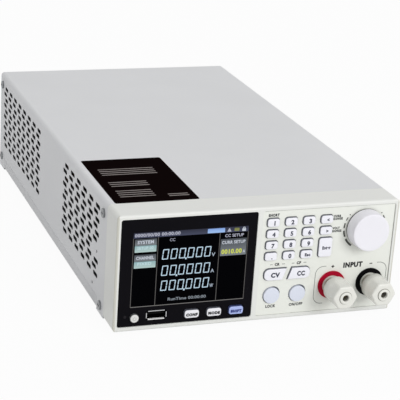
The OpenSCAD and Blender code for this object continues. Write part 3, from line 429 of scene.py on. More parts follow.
def finish(name, pattern, tone, size, patch, rough, bump, skirt=None, lit=0.0, spots=(), **constants):
    """A material: a pattern's colour, gloss spread over the rough range, and height times bump, in mm.

    A second tone takes over where the piece's own mark is 1: painted shade on the keys, the knob and the
    caps, and the lower tone of the display's picture. Each spot is a tone with the low and high corners of
    the box that it fills, and is never metal. A lit material shines with its colour.
    The constants are the shader's own sockets.
    """
    material = bpy.data.materials.new(name)
    material.use_nodes = True
    tree = material.node_tree
    shader = tree.nodes["Principled BSDF"].inputs
    for label, value in constants.items():
        shader[label.replace("_", " ")].default_value = value
    surface = add_node(tree, "ShaderNodeGroup", node_tree=pattern, Colour=colour(*tone), Size=size * MM,
                       Patch=patch).outputs
    tinted = surface["Colour"]
    if skirt:
        mark = add_node(tree, "ShaderNodeAttribute", attribute_name="skirt")
        tinted = mixed(tree, mark.outputs["Fac"], tinted, skirt)
    metal = constants.get("Metallic")
    for spot_tone, low, high in spots:
        mask = add_node(tree, "ShaderNodeGroup", node_tree=INSIDE, Low=low, High=high).outputs["Mask"]
        tinted = mixed(tree, mask, tinted, spot_tone)
        if metal:
            metal = maths(tree, "SUBTRACT", metal, mask, use_clamp=True)
            feed(tree, shader["Metallic"], metal)
    if lit:
        shader["Base Color"].default_value = UNLIT
        shader["Emission Strength"].default_value = lit
    feed(tree, shader["Emission Color" if lit else "Base Color"], tinted)
    feed(tree, shader["Roughness"], ranged(tree, surface["Gloss"], GLOSS_LOW, GLOSS_HIGH, *rough))
    relief = add_node(tree, "ShaderNodeBump", Strength=1.0, Distance=bump * MM, Height=surface["Height"])
    feed(tree, shader["Normal"], relief.outputs["Normal"])
    return material


FINISHES = {}


def coat(name, *look, **constants):
    """The finish of a material slot, or of one node in place of its slot's."""
    FINISHES[name] = finish(name, *look, **constants)


# Pattern, tone, the pattern's size in mm and its patches, the range of roughness, and the bump in mm
coat("panel_plastic", GRAIN, (236, 238, 231), 0.3, 0.01, (0.45, 0.6), 0.008)
coat("window_black", GRAIN, (17, 16, 20), 0.8, 0.08, (0.2, 0.3), 0.001, Specular_IOR_Level=0.02)
coat("display", DRAWN, (60, 62, 66), 0.2, 0.06, (0.3, 0.5), 0.004, Metallic=0.6)
coat("board_green", PEEL, (30, 92, 58), 0.9, 0.08, (0.3, 0.5), 0.01)
coat("mat_rubber", GRAIN, (62, 63, 66), 0.5, 0.05, (0.6, 0.8), 0.02)
coat("light_lens", GRAIN, (36, 34, 38), 0.4, 0.05, (0.2, 0.3), 0.002, Specular_IOR_Level=0.05)
coat("encoder_metal", DRAWN, (182, 184, 186), 0.15, 0.05, (0.25, 0.45), 0.004, Metallic=1.0)
coat("ring_red", GRAIN, (172, 10, 44), 0.3, 0.04, (0.4, 0.55), 0.006, Specular_IOR_Level=0.12)
coat("ring_black", GRAIN, (12, 12, 14), 0.3, 0.06, (0.4, 0.55), 0.006, Specular_IOR_Level=0.05)
coat("stud_brass", DRAWN, (168, 146, 104), 0.12, 0.06, (0.25, 0.42), 0.004, Metallic=1.0)
coat("bus_copper", DRAWN, (200, 128, 84), 0.15, 0.08, (0.25, 0.45), 0.006, Metallic=1.0)
coat("tray_paint", PEEL, (214, 215, 217), 0.7, 0.014, (0.42, 0.56), 0.012)
coat("foot_rubber", GRAIN, (40, 40, 41), 0.5, 0.08, (0.65, 0.85), 0.03)
coat("screw_steel", DRAWN, (146, 148, 150), 0.1, 0.06, (0.25, 0.42), 0.004, Metallic=1.0)
coat("sink_aluminium", DRAWN, (188, 191, 194), 0.2, 0.05, (0.3, 0.5), 0.008, Metallic=1.0)
coat("black_plastic", GRAIN, (38, 38, 40), 0.4, 0.06, (0.42, 0.62), 0.015)
coat("guard_wire", DRAWN, (205, 207, 210), 0.1, 0.03, (0.12, 0.25), 0.002, Metallic=1.0)
coat("cable_grey", DRAWN, (168, 170, 174), 1.27, 0.05, (0.45, 0.6), 0.08)
coat("lead_brown", GRAIN, (126, 78, 48), 0.5, 0.06, (0.4, 0.55), 0.01)
# The knob's extra tone is painted shade at its foot
coat("knob_white", GRAIN, (240, 239, 245), 0.3, 0.008, (0.4, 0.55), 0.008, skirt=(54, 56, 54))
# The caps' extra tone is painted shade at the collar's foot and at the sleeve's end
coat("cap_ivory", GRAIN, (231, 231, 224), 0.4, 0.012, (0.25, 0.4), 0.006, skirt=(150, 150, 143))
# The keys' extra tones below are painted shade on their walls
coat("key_white", GRAIN, (243, 243, 250), 0.25, 0.01, (0.45, 0.6), 0.008, skirt=(126, 128, 138))
coat("key_pale", GRAIN, (222, 227, 240), 0.25, 0.012, (0.42, 0.56), 0.008, skirt=(120, 124, 138))
coat("soft_white", GRAIN, (243, 243, 248), 0.25, 0.01, (0.42, 0.56), 0.008, skirt=(96, 98, 110))
coat("soft_blue", GRAIN, (172, 187, 238), 0.25, 0.015, (0.42, 0.56), 0.008, skirt=(70, 80, 130))
coat("power_key", GRAIN, (226, 226, 223), 0.25, 0.012, (0.42, 0.56), 0.008, skirt=(96, 98, 100))


def ink(name, tone):
    """A nearly flat tone with a little unevenness of density, for printing ink and for painted shade lines.
    """
    return finish(name, GRAIN, tone, 0.2, 0.05, (0.5, 0.65), 0.002, Specular_IOR_Level=0.3)


def shining(name, tone, low_tone=None, dim=0.2):
    """A part of the display's picture: its tone at the top and at the bottom, and dark lines between dots."""
    return finish(name, DOTS, tone, 0.16, dim, (0.25, 0.3), 0.0005, low_tone, 1.0, Specular_IOR_Level=0.02)


INK_GREY, INK_BLACK = ink("ink_grey", (70, 72, 72)), ink("ink_black", (30, 30, 32))
INK_BLUE, INK_NAVY = ink("ink_blue", (58, 60, 76)), ink("ink_navy", (44, 54, 122))
INK_LINE, INK_MARK = ink("ink_line", (128, 131, 127)), ink("ink_mark", (74, 76, 72))
# The two tones on the next line are painted shade: the shadow by the round keys, and the shade along the
# panel's upper and right edges
PAINTED_GAP_SHADE, PAINTED_EDGE_SHADE = ink("painted_gap_shade", (104, 107, 116)), ink("painted_edge_shade", (186, 188, 181))
INK_SIGN, LABEL_RULE = ink("ink_pale_grey", (188, 188, 184)), ink("label_rule", (134, 125, 122))
LABEL_FILM = finish("label_film", GRAIN, (17, 10, 10), 0.4, 0.06, (0.5, 0.65), 0.004, Specular_IOR_Level=0.0)
SCREEN = finish("screen_black", DOTS, (2, 2, 4), 0.16, 0.3, (0.25, 0.35), 0.0005, Specular_IOR_Level=0.01)

# Nodes with finishes of their own: the places of second tones are boxes within the node, in millimetres

DARK, BLACK, WHITE = (30, 30, 32), (9, 9, 10), (250, 250, 250)
TIN, GOLD, TAPE = (196, 196, 194), (196, 160, 88), (178, 142, 74)
FAR = 1.0
ALL_DEPTHS = FAR / MM, -FAR / MM


def spot_within(node, tone, low, high):
    """A spot whose box lies at distances from a node's low and high corners, with None for an open side."""
    corners = []
    for base, moves, sign in zip(node_box(node), (low, high), (1, -1)):
        corners.append([-sign * FAR if move is None else place + sign * move * MM
                        for place, move in zip(base, moves)])
    return tone, *corners


def spots_at(node, tone, places, half_w, half_h, depths=ALL_DEPTHS):
    """Spots of one size round places given from the middle of a node, at depths from its back."""
    low, high = node_box(node)
    middle = (low + high) / 2
    first, last = high[1] - depths[0] * MM, high[1] - depths[1] * MM
    return [(tone, [middle[0] + (x - half_w) * MM, first, middle[2] + (z - half_h) * MM],
             [middle[0] + (x + half_w) * MM, last, middle[2] + (z + half_h) * MM]) for x, z in places]


# Painted shade on the front edges of the frame's sides: a darker strip along each side's rim
EDGE_W, EDGE_D, EDGE_SKIN, EDGE_SHADE_TONE = 1.4, 1.3, 0.05, (211, 210, 200)
edge_far_w, edge_far_d, _ = np.ptp(node_box("front_frame"), 0) / MM - (EDGE_W, EDGE_D, 0)
FRAME_EDGE_SHADES = [
    spot_within("front_frame", EDGE_SHADE_TONE, (EDGE_SKIN, None, None), (edge_far_w, edge_far_d, None)),
    spot_within("front_frame", EDGE_SHADE_TONE, (edge_far_w, None, None), (EDGE_SKIN, edge_far_d, None))]
# Painted shade: the inside of the cover's sheet is dark, so the walls of its slots read dark
SHEET_SKIN, SHEET_BEND = 0.25, 2.8
COVER_INSIDE_SHADE = [
    spot_within("top_cover", DARK, (inset, SHEET_SKIN, None), (inset, SHEET_SKIN, drop))
    for inset, drop in ((SHEET_SKIN, SHEET_BEND), (SHEET_BEND, SHEET_SKIN))]
# The data socket has a painted highlight along its lower lip, painted shade in its corners, and a dark mouth:
# the black tongue, and painted shade deeper inside
LIP, LIP_HALF_W, LIP_HALF_H = (0, -2.8), 6.0, 0.3
CORNERS, CORNER_HALF = [(x, z) for x in (-5.95, 5.95) for z in (-2.4, 2.4)], 0.65
MOUTH_SIDE, MOUTH_LOW, MOUTH_START, MOUTH_DEEP = 0.35, 0.45, 0.25, 1.6
SOCKET_SPOTS = spots_at("data_socket", WHITE, [LIP], LIP_HALF_W, LIP_HALF_H)
SOCKET_SPOTS += spots_at("data_socket", BLACK, CORNERS, CORNER_HALF, CORNER_HALF)
SOCKET_SPOTS += [
    spot_within("data_socket", BLACK, (MOUTH_SIDE, start, lift), (MOUTH_SIDE, None, MOUTH_SIDE))
    for start, lift in ((MOUTH_START, MOUTH_LOW), (MOUTH_DEEP, MOUTH_SIDE))]
# Pins of the mains inlet, and the serial socket's face with its contacts
PINS, PIN_HALF_W, PIN_HALF_H, PIN_DEPTHS = [(-7, -2), (0, 2.5), (7, -2)], 1.05, 2.05, (18.4, 2.4)
PIN_SPOTS = spots_at("mains_inlet", TIN, PINS, PIN_HALF_W, PIN_HALF_H, PIN_DEPTHS)
NOSE_HALF_W, NOSE_HALF_H, NOSE_DEPTHS = 7.6, 3.4, (1.2, 0.2)
CONTACT_PITCH, CONTACT_ROW, CONTACT_HALF = 2.7, 1.4, 0.5
CONTACTS = [(CONTACT_PITCH * (i - (count - 1) / 2), z)
            for count, z in ((5, CONTACT_ROW), (4, -CONTACT_ROW)) for i in range(count)]
NOSE_SPOTS = spots_at("serial_socket", DARK, [(0, 0)], NOSE_HALF_W, NOSE_HALF_H, NOSE_DEPTHS)
NOSE_SPOTS += spots_at("serial_socket", GOLD, CONTACTS, CONTACT_HALF, CONTACT_HALF, NOSE_DEPTHS)
# Taped coil ends, bare tops of the capacitors and tabs of the transistors
OPEN = (None, None, None)
CORE_REACH, CAN_TOP, TAB_REACH = 30, 31.9, 20.9
COIL_SPOTS = [spot_within("transformer", TAPE, OPEN, (None, CORE_REACH, None)),
              spot_within("transformer", TAPE, (None, CORE_REACH, None), OPEN)]
CAN_SPOTS = [spot_within("capacitors", TIN, (None, None, CAN_TOP), OPEN)]
TAB_SPOTS = [spot_within("power_transistors", TIN, OPEN, (None, TAB_REACH, None))]

# The frame's spots are painted shade along the front edges of its sides
coat("front_frame", GRAIN, (231, 232, 228), 0.35, 0.012, (0.42, 0.6), 0.012, spots=FRAME_EDGE_SHADES)
# The cover's spots are painted shade on the inside of its sheet
coat("top_cover", PEEL, (223, 224, 226), 0.7, 0.012, (0.42, 0.56), 0.012, spots=COVER_INSIDE_SHADE)
coat("post_studs", DRAWN, (198, 194, 184), 0.12, 0.06, (0.3, 0.45), 0.004, Metallic=0.4)
# The data socket's spots: a painted highlight, painted shade, and its black tongue
coat("data_socket", DRAWN, (214, 215, 217), 0.15, 0.05, (0.25, 0.42), 0.004, spots=SOCKET_SPOTS,
     Specular_IOR_Level=0.04, Metallic=1.0)
coat("mains_inlet", GRAIN, (36, 36, 38), 0.4, 0.06, (0.42, 0.62), 0.015, spots=PIN_SPOTS)
coat("serial_socket", DRAWN, (196, 198, 200), 0.15, 0.05, (0.25, 0.42), 0.004, spots=NOSE_SPOTS, Metallic=1.0)
coat("transformer", DRAWN, (96, 93, 90), 0.5, 0.1, (0.4, 0.6), 0.02, spots=COIL_SPOTS)
coat("capacitors", GRAIN, (48, 54, 84), 0.6, 0.06, (0.25, 0.4), 0.006, spots=CAN_SPOTS)
coat("power_transistors", GRAIN, (38, 38, 40), 0.4, 0.06, (0.42, 0.62), 0.015, spots=TAB_SPOTS)


def finish_of(node):
    """A node's own finish, or else its slot's."""
    return FINISHES.get(node) or FINISHES[SLOT_OF[node]]


# The mark that a skin carries paints shade on the keys, the knob and the caps
def add_skin(node, body, shape, skirt):
    """A skin that replaces a solid: it takes the solid's finish and slot, and has a skirt mark."""
    add_piece(f"{node}_skin", shape, finish_of(node), body, node, {"skirt": skirt})


for node, piece in frame["nodes"].items():
    piece.data.materials.clear()
    piece.data.materials.append(finish_of(node))


# Keys: skins that replace the plain key solids, with their legends

KEY_EDGE, KEY_LEAN, KEY_CROWN = 0.45 * MM, 0.15 * MM, 0.14 * MM
SOFT_LEAN = 0.3 * MM
MODE_SLANT, MODE_R, SHARP, KEY_R = 2.8 * MM, 3.4 * MM, 0.4 * MM, 1.7 * MM
EDGE_STEPS, CROWN_STEPS, ROUND_STEPS, CORNER_STEPS = 6, 5, 24, 7
HAIR = 0.01 * MM
# A round key's corners stop just short of half its height, which keeps a little of each edge
ROUND_SHARE = 0.9999
# Painted shade on the keys' walls: how fast it rises down the wall, where it starts, and its share on a round
# key
WALL_SHADE_GAIN, WALL_SHADE_START, ROUND_WALL_SHADE = 1.6, 0.3, 0.35
DIGIT_CAP, MODE_CAP, WORD_CAP, SOFT_CAP = 2.6, 2.8, 1.9, 1.6
KEY_BOLD, MODE_BOLD, SOFT_BOLD = 0.045, 0.055, 0.085
LEGEND_RIGHT, LEGEND_DOWN, SOFT_DOWN = 0.6 * MM, 0.2 * MM, 0.4 * MM
LEGENDS = {f"key_{digit}": (digit, DIGIT_CAP, INK_BLUE) for digit in "0123456789"}
WORD_KEYS = {"key_left": "<", "key_right": ">", "key_esc": "Esc", "key_enter": "Enter"}
LEGENDS |= {node: (words, WORD_CAP, INK_BLUE) for node, words in WORD_KEYS.items()}
LEGENDS |= {"key_point": (".", DIGIT_CAP, INK_BLUE), "key_cv": ("CV", MODE_CAP, INK_BLUE),
            "key_cc": ("CC", MODE_CAP, INK_BLUE), "soft_key_1": ("CONF", SOFT_CAP, INK_BLACK),
            "soft_key_2": ("MODE", SOFT_CAP, INK_BLACK), "soft_key_3": ("SHIFT", SOFT_CAP, INK_NAVY)}
WORD_SPANS = {"key_esc": 3.8 * MM, "key_enter": 5.6 * MM, "key_cc": 5.3 * MM}
PLAIN_KEYS = ("key_lock", "key_on_off", "power_key")


def key_corners(node, face):
    """Corners and radii of a key's outline: round, slanted on one side, or a plain rectangle."""
    left, low, right, high = face
    corners = box_corners(left, low, right, high)
    if node in PLAIN_KEYS:
        return corners, (high - low) / 2 * ROUND_SHARE
    if node == "key_cv":
        corners[1, 0] -= MODE_SLANT
        return corners, np.array([MODE_R, SHARP, SHARP, MODE_R])
    if node == "key_cc":
        corners[3, 0] += MODE_SLANT
        return corners, np.array([SHARP, MODE_R, MODE_R, SHARP])
    if node.startswith("soft"):
        return corners, (high - low) / 3
    return corners, KEY_R


def add_key(node):
    """A key's skin: flange, walls that lean in, a quarter-round edge and a crowned face.

    Each ring is the key's outline moved in by an inset at its own depth. Over the face the last outline
    shrinks to its middle while the depth rises along a parabola. The mark of painted shade is 1 on the walls,
    and less on a translucent round key.
    """
    points = node_points(node)
    levels = np.unique(points[:, 1].round(6))
    front, flange, back = levels[0], levels[-2], levels[-1]
    rim = points[points[:, 1] < front + HAIR]
    left, low = rim[:, [0, 2]].min(0)
    right, high = rim[:, [0, 2]].max(0)
    brim = left - points[:, 0].min()
    corners, radii = key_corners(node, (left, low, right, high))
    quarter = np.linspace(0, np.pi / 2, EDGE_STEPS)
    lean = SOFT_LEAN if SLOT_OF[node].startswith("soft") else KEY_LEAN
    insets = np.concatenate([[-brim, -brim, 0, 0], lean + KEY_EDGE * (1 - np.cos(quarter))])
    drops = KEY_CROWN + KEY_EDGE * (1 - np.sin(quarter))
    depths = np.concatenate([[back, flange, flange, flange - HAIR], front + drops])
    steps = ROUND_STEPS if node in PLAIN_KEYS else CORNER_STEPS
    rings = np.stack([upright(round_outline(corners, radii, inset, steps), depth)
                      for inset, depth in zip(insets, depths)])
    shrink = (1 - np.linspace(0, 1, CROWN_STEPS + 1)[1:-1])[:, None, None]
    middle = rings[-1].mean(0)
    face = middle + (rings[-1] - middle) * shrink
    face[..., 1] = front + KEY_CROWN * shrink[..., 0] ** 2
    rings = np.concatenate([rings, face])
    shape = skin(rings)
    shape[0][-1, 1] = front
    # Painted shade on the key's walls: the mark grows from the edge down the wall, and is weaker on a round
    # key
    fall = (rings[:, 0, 1] - front - KEY_CROWN) / KEY_EDGE
    skirt = np.repeat(np.clip(WALL_SHADE_GAIN * fall - WALL_SHADE_START, 0, 1)[:, None], rings.shape[1], 1)
    full = ROUND_WALL_SHADE if SLOT_OF[node] == "key_pale" else 1.0
    add_skin(node, node, shape, np.append(skirt.reshape(-1), [1.0, 0.0]) * full)
    if node in LEGENDS:
        words, cap, tone = LEGENDS[node]
        bold = {DIGIT_CAP: KEY_BOLD, SOFT_CAP: SOFT_BOLD}.get(cap, MODE_BOLD)
        aside = {"key_cv": -MODE_SLANT / 4, "key_cc": MODE_SLANT / 4}.get(node, 0.0)
        right_by, down_by = (0.0, SOFT_DOWN) if node.startswith("soft") else (LEGEND_RIGHT, LEGEND_DOWN)
        legend = lettering(words, (left + right) / 2 + aside + right_by, (low + high) / 2 - down_by, cap * MM,
                           *ink_depths(front), bold, WORD_SPANS.get(node))
        add_piece(f"{node}_legend", legend, tone, node)


for node in (*LEGENDS, *PLAIN_KEYS):
    add_key(node)


# Knob and binding posts

NEAR = 0.03 * MM
KNOB_EDGE, KNOB_LEAN, KNOB_DISH = 0.8 * MM, 0.4 * MM, 0.18 * MM
KNOB_CHAMFER, KNOB_FOOT, FOOT_END = 0.2 * MM, 0.9 * MM, 1.1
KNOB_STEPS, DISH_STEPS, CAP_STEPS = 96, 10, 120
# Share of a face's radius inside which a fan closes it
CORE = 0.05
CAP_RIM, CAP_STEP, CAP_SOFT = 0.3 * MM, 1.0 * MM, 1.1 * MM
CORNER_POWER = 30.0
# Points of the cap's profile at the sleeve's end, and how much painted shade each sleeve has there
END_POINTS = 3
SLEEVE_SHADE = {"positive": 0.35, "negative": 0.75}


def whole_turn(steps):
    """Angles of a whole turn."""
    return np.linspace(0, 2 * np.pi, steps, endpoint=False)


def turned(radius, depth, angles, x, z):
    """Rings about a line along the depth through x and z: one ring for each row of radius and depth."""
    return np.stack(np.broadcast_arrays(x + radius * np.cos(angles), depth, z + radius * np.sin(angles)), -1)


def round_node(node):
    """The x and z of a round node's axis, the node's points and their distances from the axis."""
    x, z = middle_of(node)
    points = node_points(node)
    return x, z, points, np.hypot(points[:, 0] - x, points[:, 2] - z)


def quarter_round(radius, depth, size, steps=8):
    """Profile of a rounded front edge: a quarter circle from the side at depth plus size to the face."""
    angle = np.linspace(0, np.pi / 2, steps)
    return np.stack([radius - size * (1 - np.cos(angle)), depth + size * (1 - np.sin(angle))], -1)


def add_knob():
    """The knob: painted shade at its foot, a side that leans in, a broad round edge and a face that dishes in
    slightly.
    """
    low, high = node_box("control_knob")
    x, z, points, reach = round_node("control_knob")
    radius = (high - low)[0] / 2
    front, back = low[1], high[1]
    bore = reach[np.abs(points[:, 1] - back) < NEAR].min()
    floor = points[np.abs(reach - bore) < NEAR][:, 1].min()
    top = radius - KNOB_LEAN
    share = np.linspace(1, CORE, DISH_STEPS)
    dish = np.stack([(top - KNOB_EDGE) * share, front + KNOB_DISH * (1 - share ** 2) ** 2], -1)
    foot = [[CORE * bore, floor], [bore, floor], [bore, back], [radius - KNOB_CHAMFER, back],
            [radius, back - KNOB_CHAMFER], [radius, back - KNOB_FOOT], [radius, back - FOOT_END * KNOB_FOOT]]
    profile = np.concatenate([foot, quarter_round(top, front, KNOB_EDGE), dish[1:]])
    rings = turned(*profile.T[:, :, None], whole_turn(KNOB_STEPS), x, z)
    # Painted shade at the knob's foot, where it stands over the panel
    dark = (profile[:, 0] > bore + NEAR) & (profile[:, 1] > back - (1 + FOOT_END) / 2 * KNOB_FOOT)
    skirt = np.append(np.repeat(dark.astype(float), rings.shape[1]), [0.0, 0.0])
    add_skin("control_knob", "knob", skin(rings), skirt)


def add_cap(side):
    """A screw cap: a round sleeve, a six-sided head and a ringed face around the plug hole.

    The profile gives radius, depth and how six-sided each ring is. A six-sided ring's radius is the
    distance to a hexagon's side, softly limited at the corners by the sleeve's circle. The mark of painted
    shade is 1 along the collar's foot, and fades along the sleeve from its shade at the panel's end.
    """
    node = f"cap_{side}"
    x, z, points, reach = round_node(node)
    front, face, floor, shoulder, back = np.unique(points[:, 1].round(5))
    at_front, at_back = reach[points[:, 1] < front + NEAR], reach[points[:, 1] > back - NEAR]
    hole, ring = at_front.min(), at_front.max()
    bore, sleeve = at_back.min(), at_back.max()
    flat = np.abs(points[np.abs(points[:, 1] - face) < NEAR][:, 2] - z).max()
    rim, step, soft = CAP_RIM, CAP_STEP, CAP_SOFT
    outside = [[bore + rim, back, 0], [sleeve - rim, back, 0], [sleeve, back - rim, 0],
               [sleeve, shoulder + step, 0], [flat, shoulder - step, 1], [flat, face + 2 * soft, 1]]
    outside += [[radius, depth, 1] for radius, depth in quarter_round(flat, face, soft, 6)]
    outside += [[ring + 1.5 * rim, face, 0], [ring + rim, face, 0], [ring, face - rim / 3, 0]]
    outside += [[radius, depth, 0] for radius, depth in quarter_round(ring, front, rim, 4)]
    inside = [[hole + rim, front, 0], [hole, front + rim, 0], [hole, floor, 0],
              [bore, floor, 0], [bore, back - rim, 0]]
    profile = np.array(outside + inside)
    radius, depth, sides = profile.T[:, :, None]
    angles = whole_turn(CAP_STEPS)
    side_reach = flat / np.cos(angles % (np.pi / 3) - np.pi / 6)
    nut = (side_reach ** -CORNER_POWER + sleeve ** -CORNER_POWER) ** (-1 / CORNER_POWER)
    rings = turned(radius * (1 + sides * (nut / flat - 1)), depth, angles, x, z)
    # Painted shade at the foot of the collar, and at the sleeve's end by the panel
    by_collar = np.abs(profile[:, 0] - ring - rim / 2) < 0.6 * rim
    collar_foot = by_collar & (profile[:, 1] < face + NEAR) & (profile[:, 1] > front + rim)
    sleeve_end = (np.arange(len(profile)) < END_POINTS) * SLEEVE_SHADE[side]
    skirt = np.repeat(np.maximum(collar_foot, sleeve_end).astype(float), len(angles))
    add_skin(node, node, skin(rings, loop=True), skirt)


add_knob()
for side in ("positive", "negative"):
    add_cap(side)


# Prints on the control panel, and painted shade lines by its edges and its round keys, in millimetres from
# the panel's lower left corner

PANEL_LOW = node_box("control_panel")[0]
PANEL_DEPTHS = ink_depths(PANEL_LOW[1])


def on_panel(flat):
    """Panel millimetres as places on the front."""
    return PANEL_LOW[[0, 2]] + np.asarray(flat, float) * MM


def panel_words(words, x, z, span, cap, weight):
    """Words printed on the panel, stretched to a span."""
    x, z = on_panel((x, z))
    return lettering(words, x, z, cap * MM, *PANEL_DEPTHS, weight, span * MM)


def panel_line(path, width):
    """A line printed on the panel."""
    return line(on_panel(path), width * MM, *PANEL_DEPTHS)


def arc(x, z, radius, first, last, steps=12):
    """Points along a circle from one angle to another, in degrees."""
    angle = np.radians(np.linspace(first, last, steps))
    return np.stack([x + radius * np.cos(angle), z + radius * np.sin(angle)], -1)


# Capital height and weight, then each word with its middle and its span
PANEL_WORDS = [
    (1.6, 0.075, [("SHORT", 7.1, 67.0, 7.3), ("CR", 12.0, 34.0, 3.4), ("CP", 26.7, 34.0, 3.1)]),
    (1.35, 0.075, [("CURR", 50.2, 63.8, 5.2), ("RANGE", 50.7, 62.0, 6.4),
                   ("VOLT", 50.0, 55.7, 5.0), ("RANGE", 50.7, 53.8, 6.2)]),
    (1.7, 0.06, [("LOCK", 9.8, 5.7, 6.8), ("ON/OFF", 27.0, 5.7, 9.3)]),
]
INPUT_WORD, INPUT_CAP, INPUT_BOLD = ("INPUT", 64.4, 29.9, 13.4), 3.0, 0.07
PLUS_X, PLUS_Z, MINUS_X, MINUS_Z = 50.5, 29.7, 77.1, 29.8
SIGN, SIGN_W = 1.0, 0.65
TICKS, TICK_Z = [(7.2, 9.0), (15.2, 17.2), (21.9, 23.7), (29.8, 31.8)], 34.0
BRACKET_LEFT, BRACKET_RIGHT, BRACKET_LOW, BRACKET_HIGH, BRACKET_R = 38.8, 88.4, 4.8, 30.2, 5.3
STUB_TOP, STUB_LOW = 1.8, 1.5
LINE_W, EDGE_SHADE_W = 0.4, 0.35
# Marks around the knob: first and last angle, and width
KNOB_MARKS = [(138.5, 141.5, 0.75), (148.5, 157.5, 0.75), (165.0, 178.5, 0.9), (185.5, 202.5, 1.1),
              (209.5, 235.0, 1.3)]
MARKS_R = 14.3
HOLE_GAP, GAP_W, GAP_LEAST, GAP_SPAN, GAP_STEPS = 0.2, 0.55, 0.05, (5.0, 95.0), 16
POWER_R, POWER_W, POWER_OPEN, POWER_STROKE = 1.0 * MM, 0.3 * MM, (125, 415), (0.4 * MM, 1.3 * MM)


def bracket(toward):
    """Half of the frame around the posts: a stub, a corner arc, the side, a corner arc and a stub."""
    x = BRACKET_LEFT if toward > 0 else BRACKET_RIGHT
    middle = x + toward * BRACKET_R
    start, end = (180, 270) if toward > 0 else (0, -90)
    upper = arc(middle, BRACKET_HIGH - BRACKET_R, BRACKET_R, 90, start)
    lower = arc(middle, BRACKET_LOW + BRACKET_R, BRACKET_R, start, end)
    ends = [[middle + toward * STUB_TOP, BRACKET_HIGH]], [[middle + toward * STUB_LOW, BRACKET_LOW]]
    return panel_line(np.concatenate([ends[0], upper, lower, ends[1]]), LINE_W)


def knob_marks():
    """Marks around the knob that grow towards the bottom, arcs of one circle, the same on both sides."""
    x, z = (middle_of("control_knob") - PANEL_LOW[[0, 2]]) / MM
    both = [mark for first, last, width in KNOB_MARKS
            for mark in ((first, last, width), (180 - first, 180 - last, width))]
    return [panel_line(arc(x, z, MARKS_R, first, last), width) for first, last, width in both]


def gap_shadow_arc(node):
    """Painted shadow at the upper right of a round key, drawn as a gap: an arc whose width swells from next
    to nothing and back.
    """
    points = node_points(node)
    face = points[points[:, 1] < points[:, 1].min() + NEAR][:, [0, 2]]
    middle = ((face.min(0) + face.max(0)) / 2 - PANEL_LOW[[0, 2]]) / MM
    radius = np.ptp(face[:, 0]) / 2 / MM + HOLE_GAP
    angle = np.radians(np.linspace(*GAP_SPAN, GAP_STEPS))
    width = GAP_W * (GAP_LEAST + np.sin(np.linspace(0, np.pi, GAP_STEPS)))
    path = middle + (radius + width / 2)[:, None] * np.stack([np.cos(angle), np.sin(angle)], -1)
    return panel_line(path, width)


def edge_shade_lines():
    """Painted shade along the panel's upper and right edges, under the frame's rim: a line on each."""
    width, _, height = (node_box("control_panel")[1] - PANEL_LOW) / MM
    right, top = width - EDGE_SHADE_W / 2, height - EDGE_SHADE_W / 2
    paths = [(0, top), (width, top)], [(right, 0), (right, height)]
    return [panel_line(path, EDGE_SHADE_W) for path in paths]


def input_print():
    """The word over the posts, with a minus and a plus."""
    strokes = [[(MINUS_X - SIGN, MINUS_Z), (MINUS_X + SIGN, MINUS_Z)],
               [(PLUS_X - SIGN, PLUS_Z), (PLUS_X + SIGN, PLUS_Z)],
               [(PLUS_X, PLUS_Z - SIGN), (PLUS_X, PLUS_Z + SIGN)]]
    return [panel_words(*INPUT_WORD, INPUT_CAP, INPUT_BOLD), *[panel_line(path, SIGN_W) for path in strokes]]


def power_sign():
    """The sign on the power key: an open ring and a stroke in its gap."""
    x, z = middle_of("power_key")
    face = node_box("power_key")[0][1]
    paths = arc(x, z, POWER_R, *POWER_OPEN), [(x, z + end) for end in POWER_STROKE]
    return [line(path, POWER_W, *ink_depths(face)) for path in paths]


grey_prints = [panel_words(*row, cap, weight) for cap, weight, rows in PANEL_WORDS for row in rows]
fine_lines = [panel_line([(left, TICK_Z), (right, TICK_Z)], LINE_W) for left, right in TICKS]
round_shadows = [gap_shadow_arc(node) for node in ("key_lock", "key_on_off")]
for name, shapes, tone, body in [
        ("panel_prints", grey_prints, INK_GREY, "case"),
        ("panel_lines", [*fine_lines, bracket(1), bracket(-1)], INK_LINE, "case"),
        ("knob_marks", knob_marks(), INK_MARK, "case"),
        # Painted shadow by the round keys, and painted shade along the panel's edges
        ("round_key_shadows", round_shadows, PAINTED_GAP_SHADE, "case"),
        ("panel_edge_shade_lines", edge_shade_lines(), PAINTED_EDGE_SHADE, "case"),
        ("input_print", input_print(), INK_BLACK, "case"),
        ("power_sign", power_sign(), INK_SIGN, "power_key")]:
    add_piece(name, joined(shapes), tone, body)


# Display: its picture lies just in front of the window, in millimetres from the window's lower left corner

WINDOW_LOW = node_box("display_window")[0]
# Layers, each in front of the one before
SCREEN_LEVEL, FIELD_LEVEL, PRINT_LEVEL, BREAK_LEVEL = 0.5, 1, 2, 3
BOX_R, BOX_STEPS = 0.3, 4
WORD_DIM = 0.1


def on_window(flat):
    """Window millimetres as places on the front."""
    return WINDOW_LOW[[0, 2]] + np.asarray(flat, float) * MM


def layer(level):
    """Front and back depths of a layer of the picture."""
    front = WINDOW_LOW[1] - level * LAYER * MM
    return front, WINDOW_LOW[1] + LAYER * MM


def picture_box(left, low, right, high, level, radius=BOX_R):
    """A filled box of the picture."""
    corners = on_window(box_corners(left, low, right, high))
    return slab(round_outline(corners, radius * MM, steps=BOX_STEPS), *layer(level))


def picture_words(words, left, right, z, cap, weight):
    """Words of the picture, stretched from left to right."""
    x, z = on_window(((left + right) / 2, z))
    return lettering(words, x, z, cap * MM, *layer(PRINT_LEVEL), weight, (right - left) * MM)


def picture_line(path, width, level=PRINT_LEVEL):
    """A line of the picture."""
    return line(on_window(path), width * MM, *layer(level))


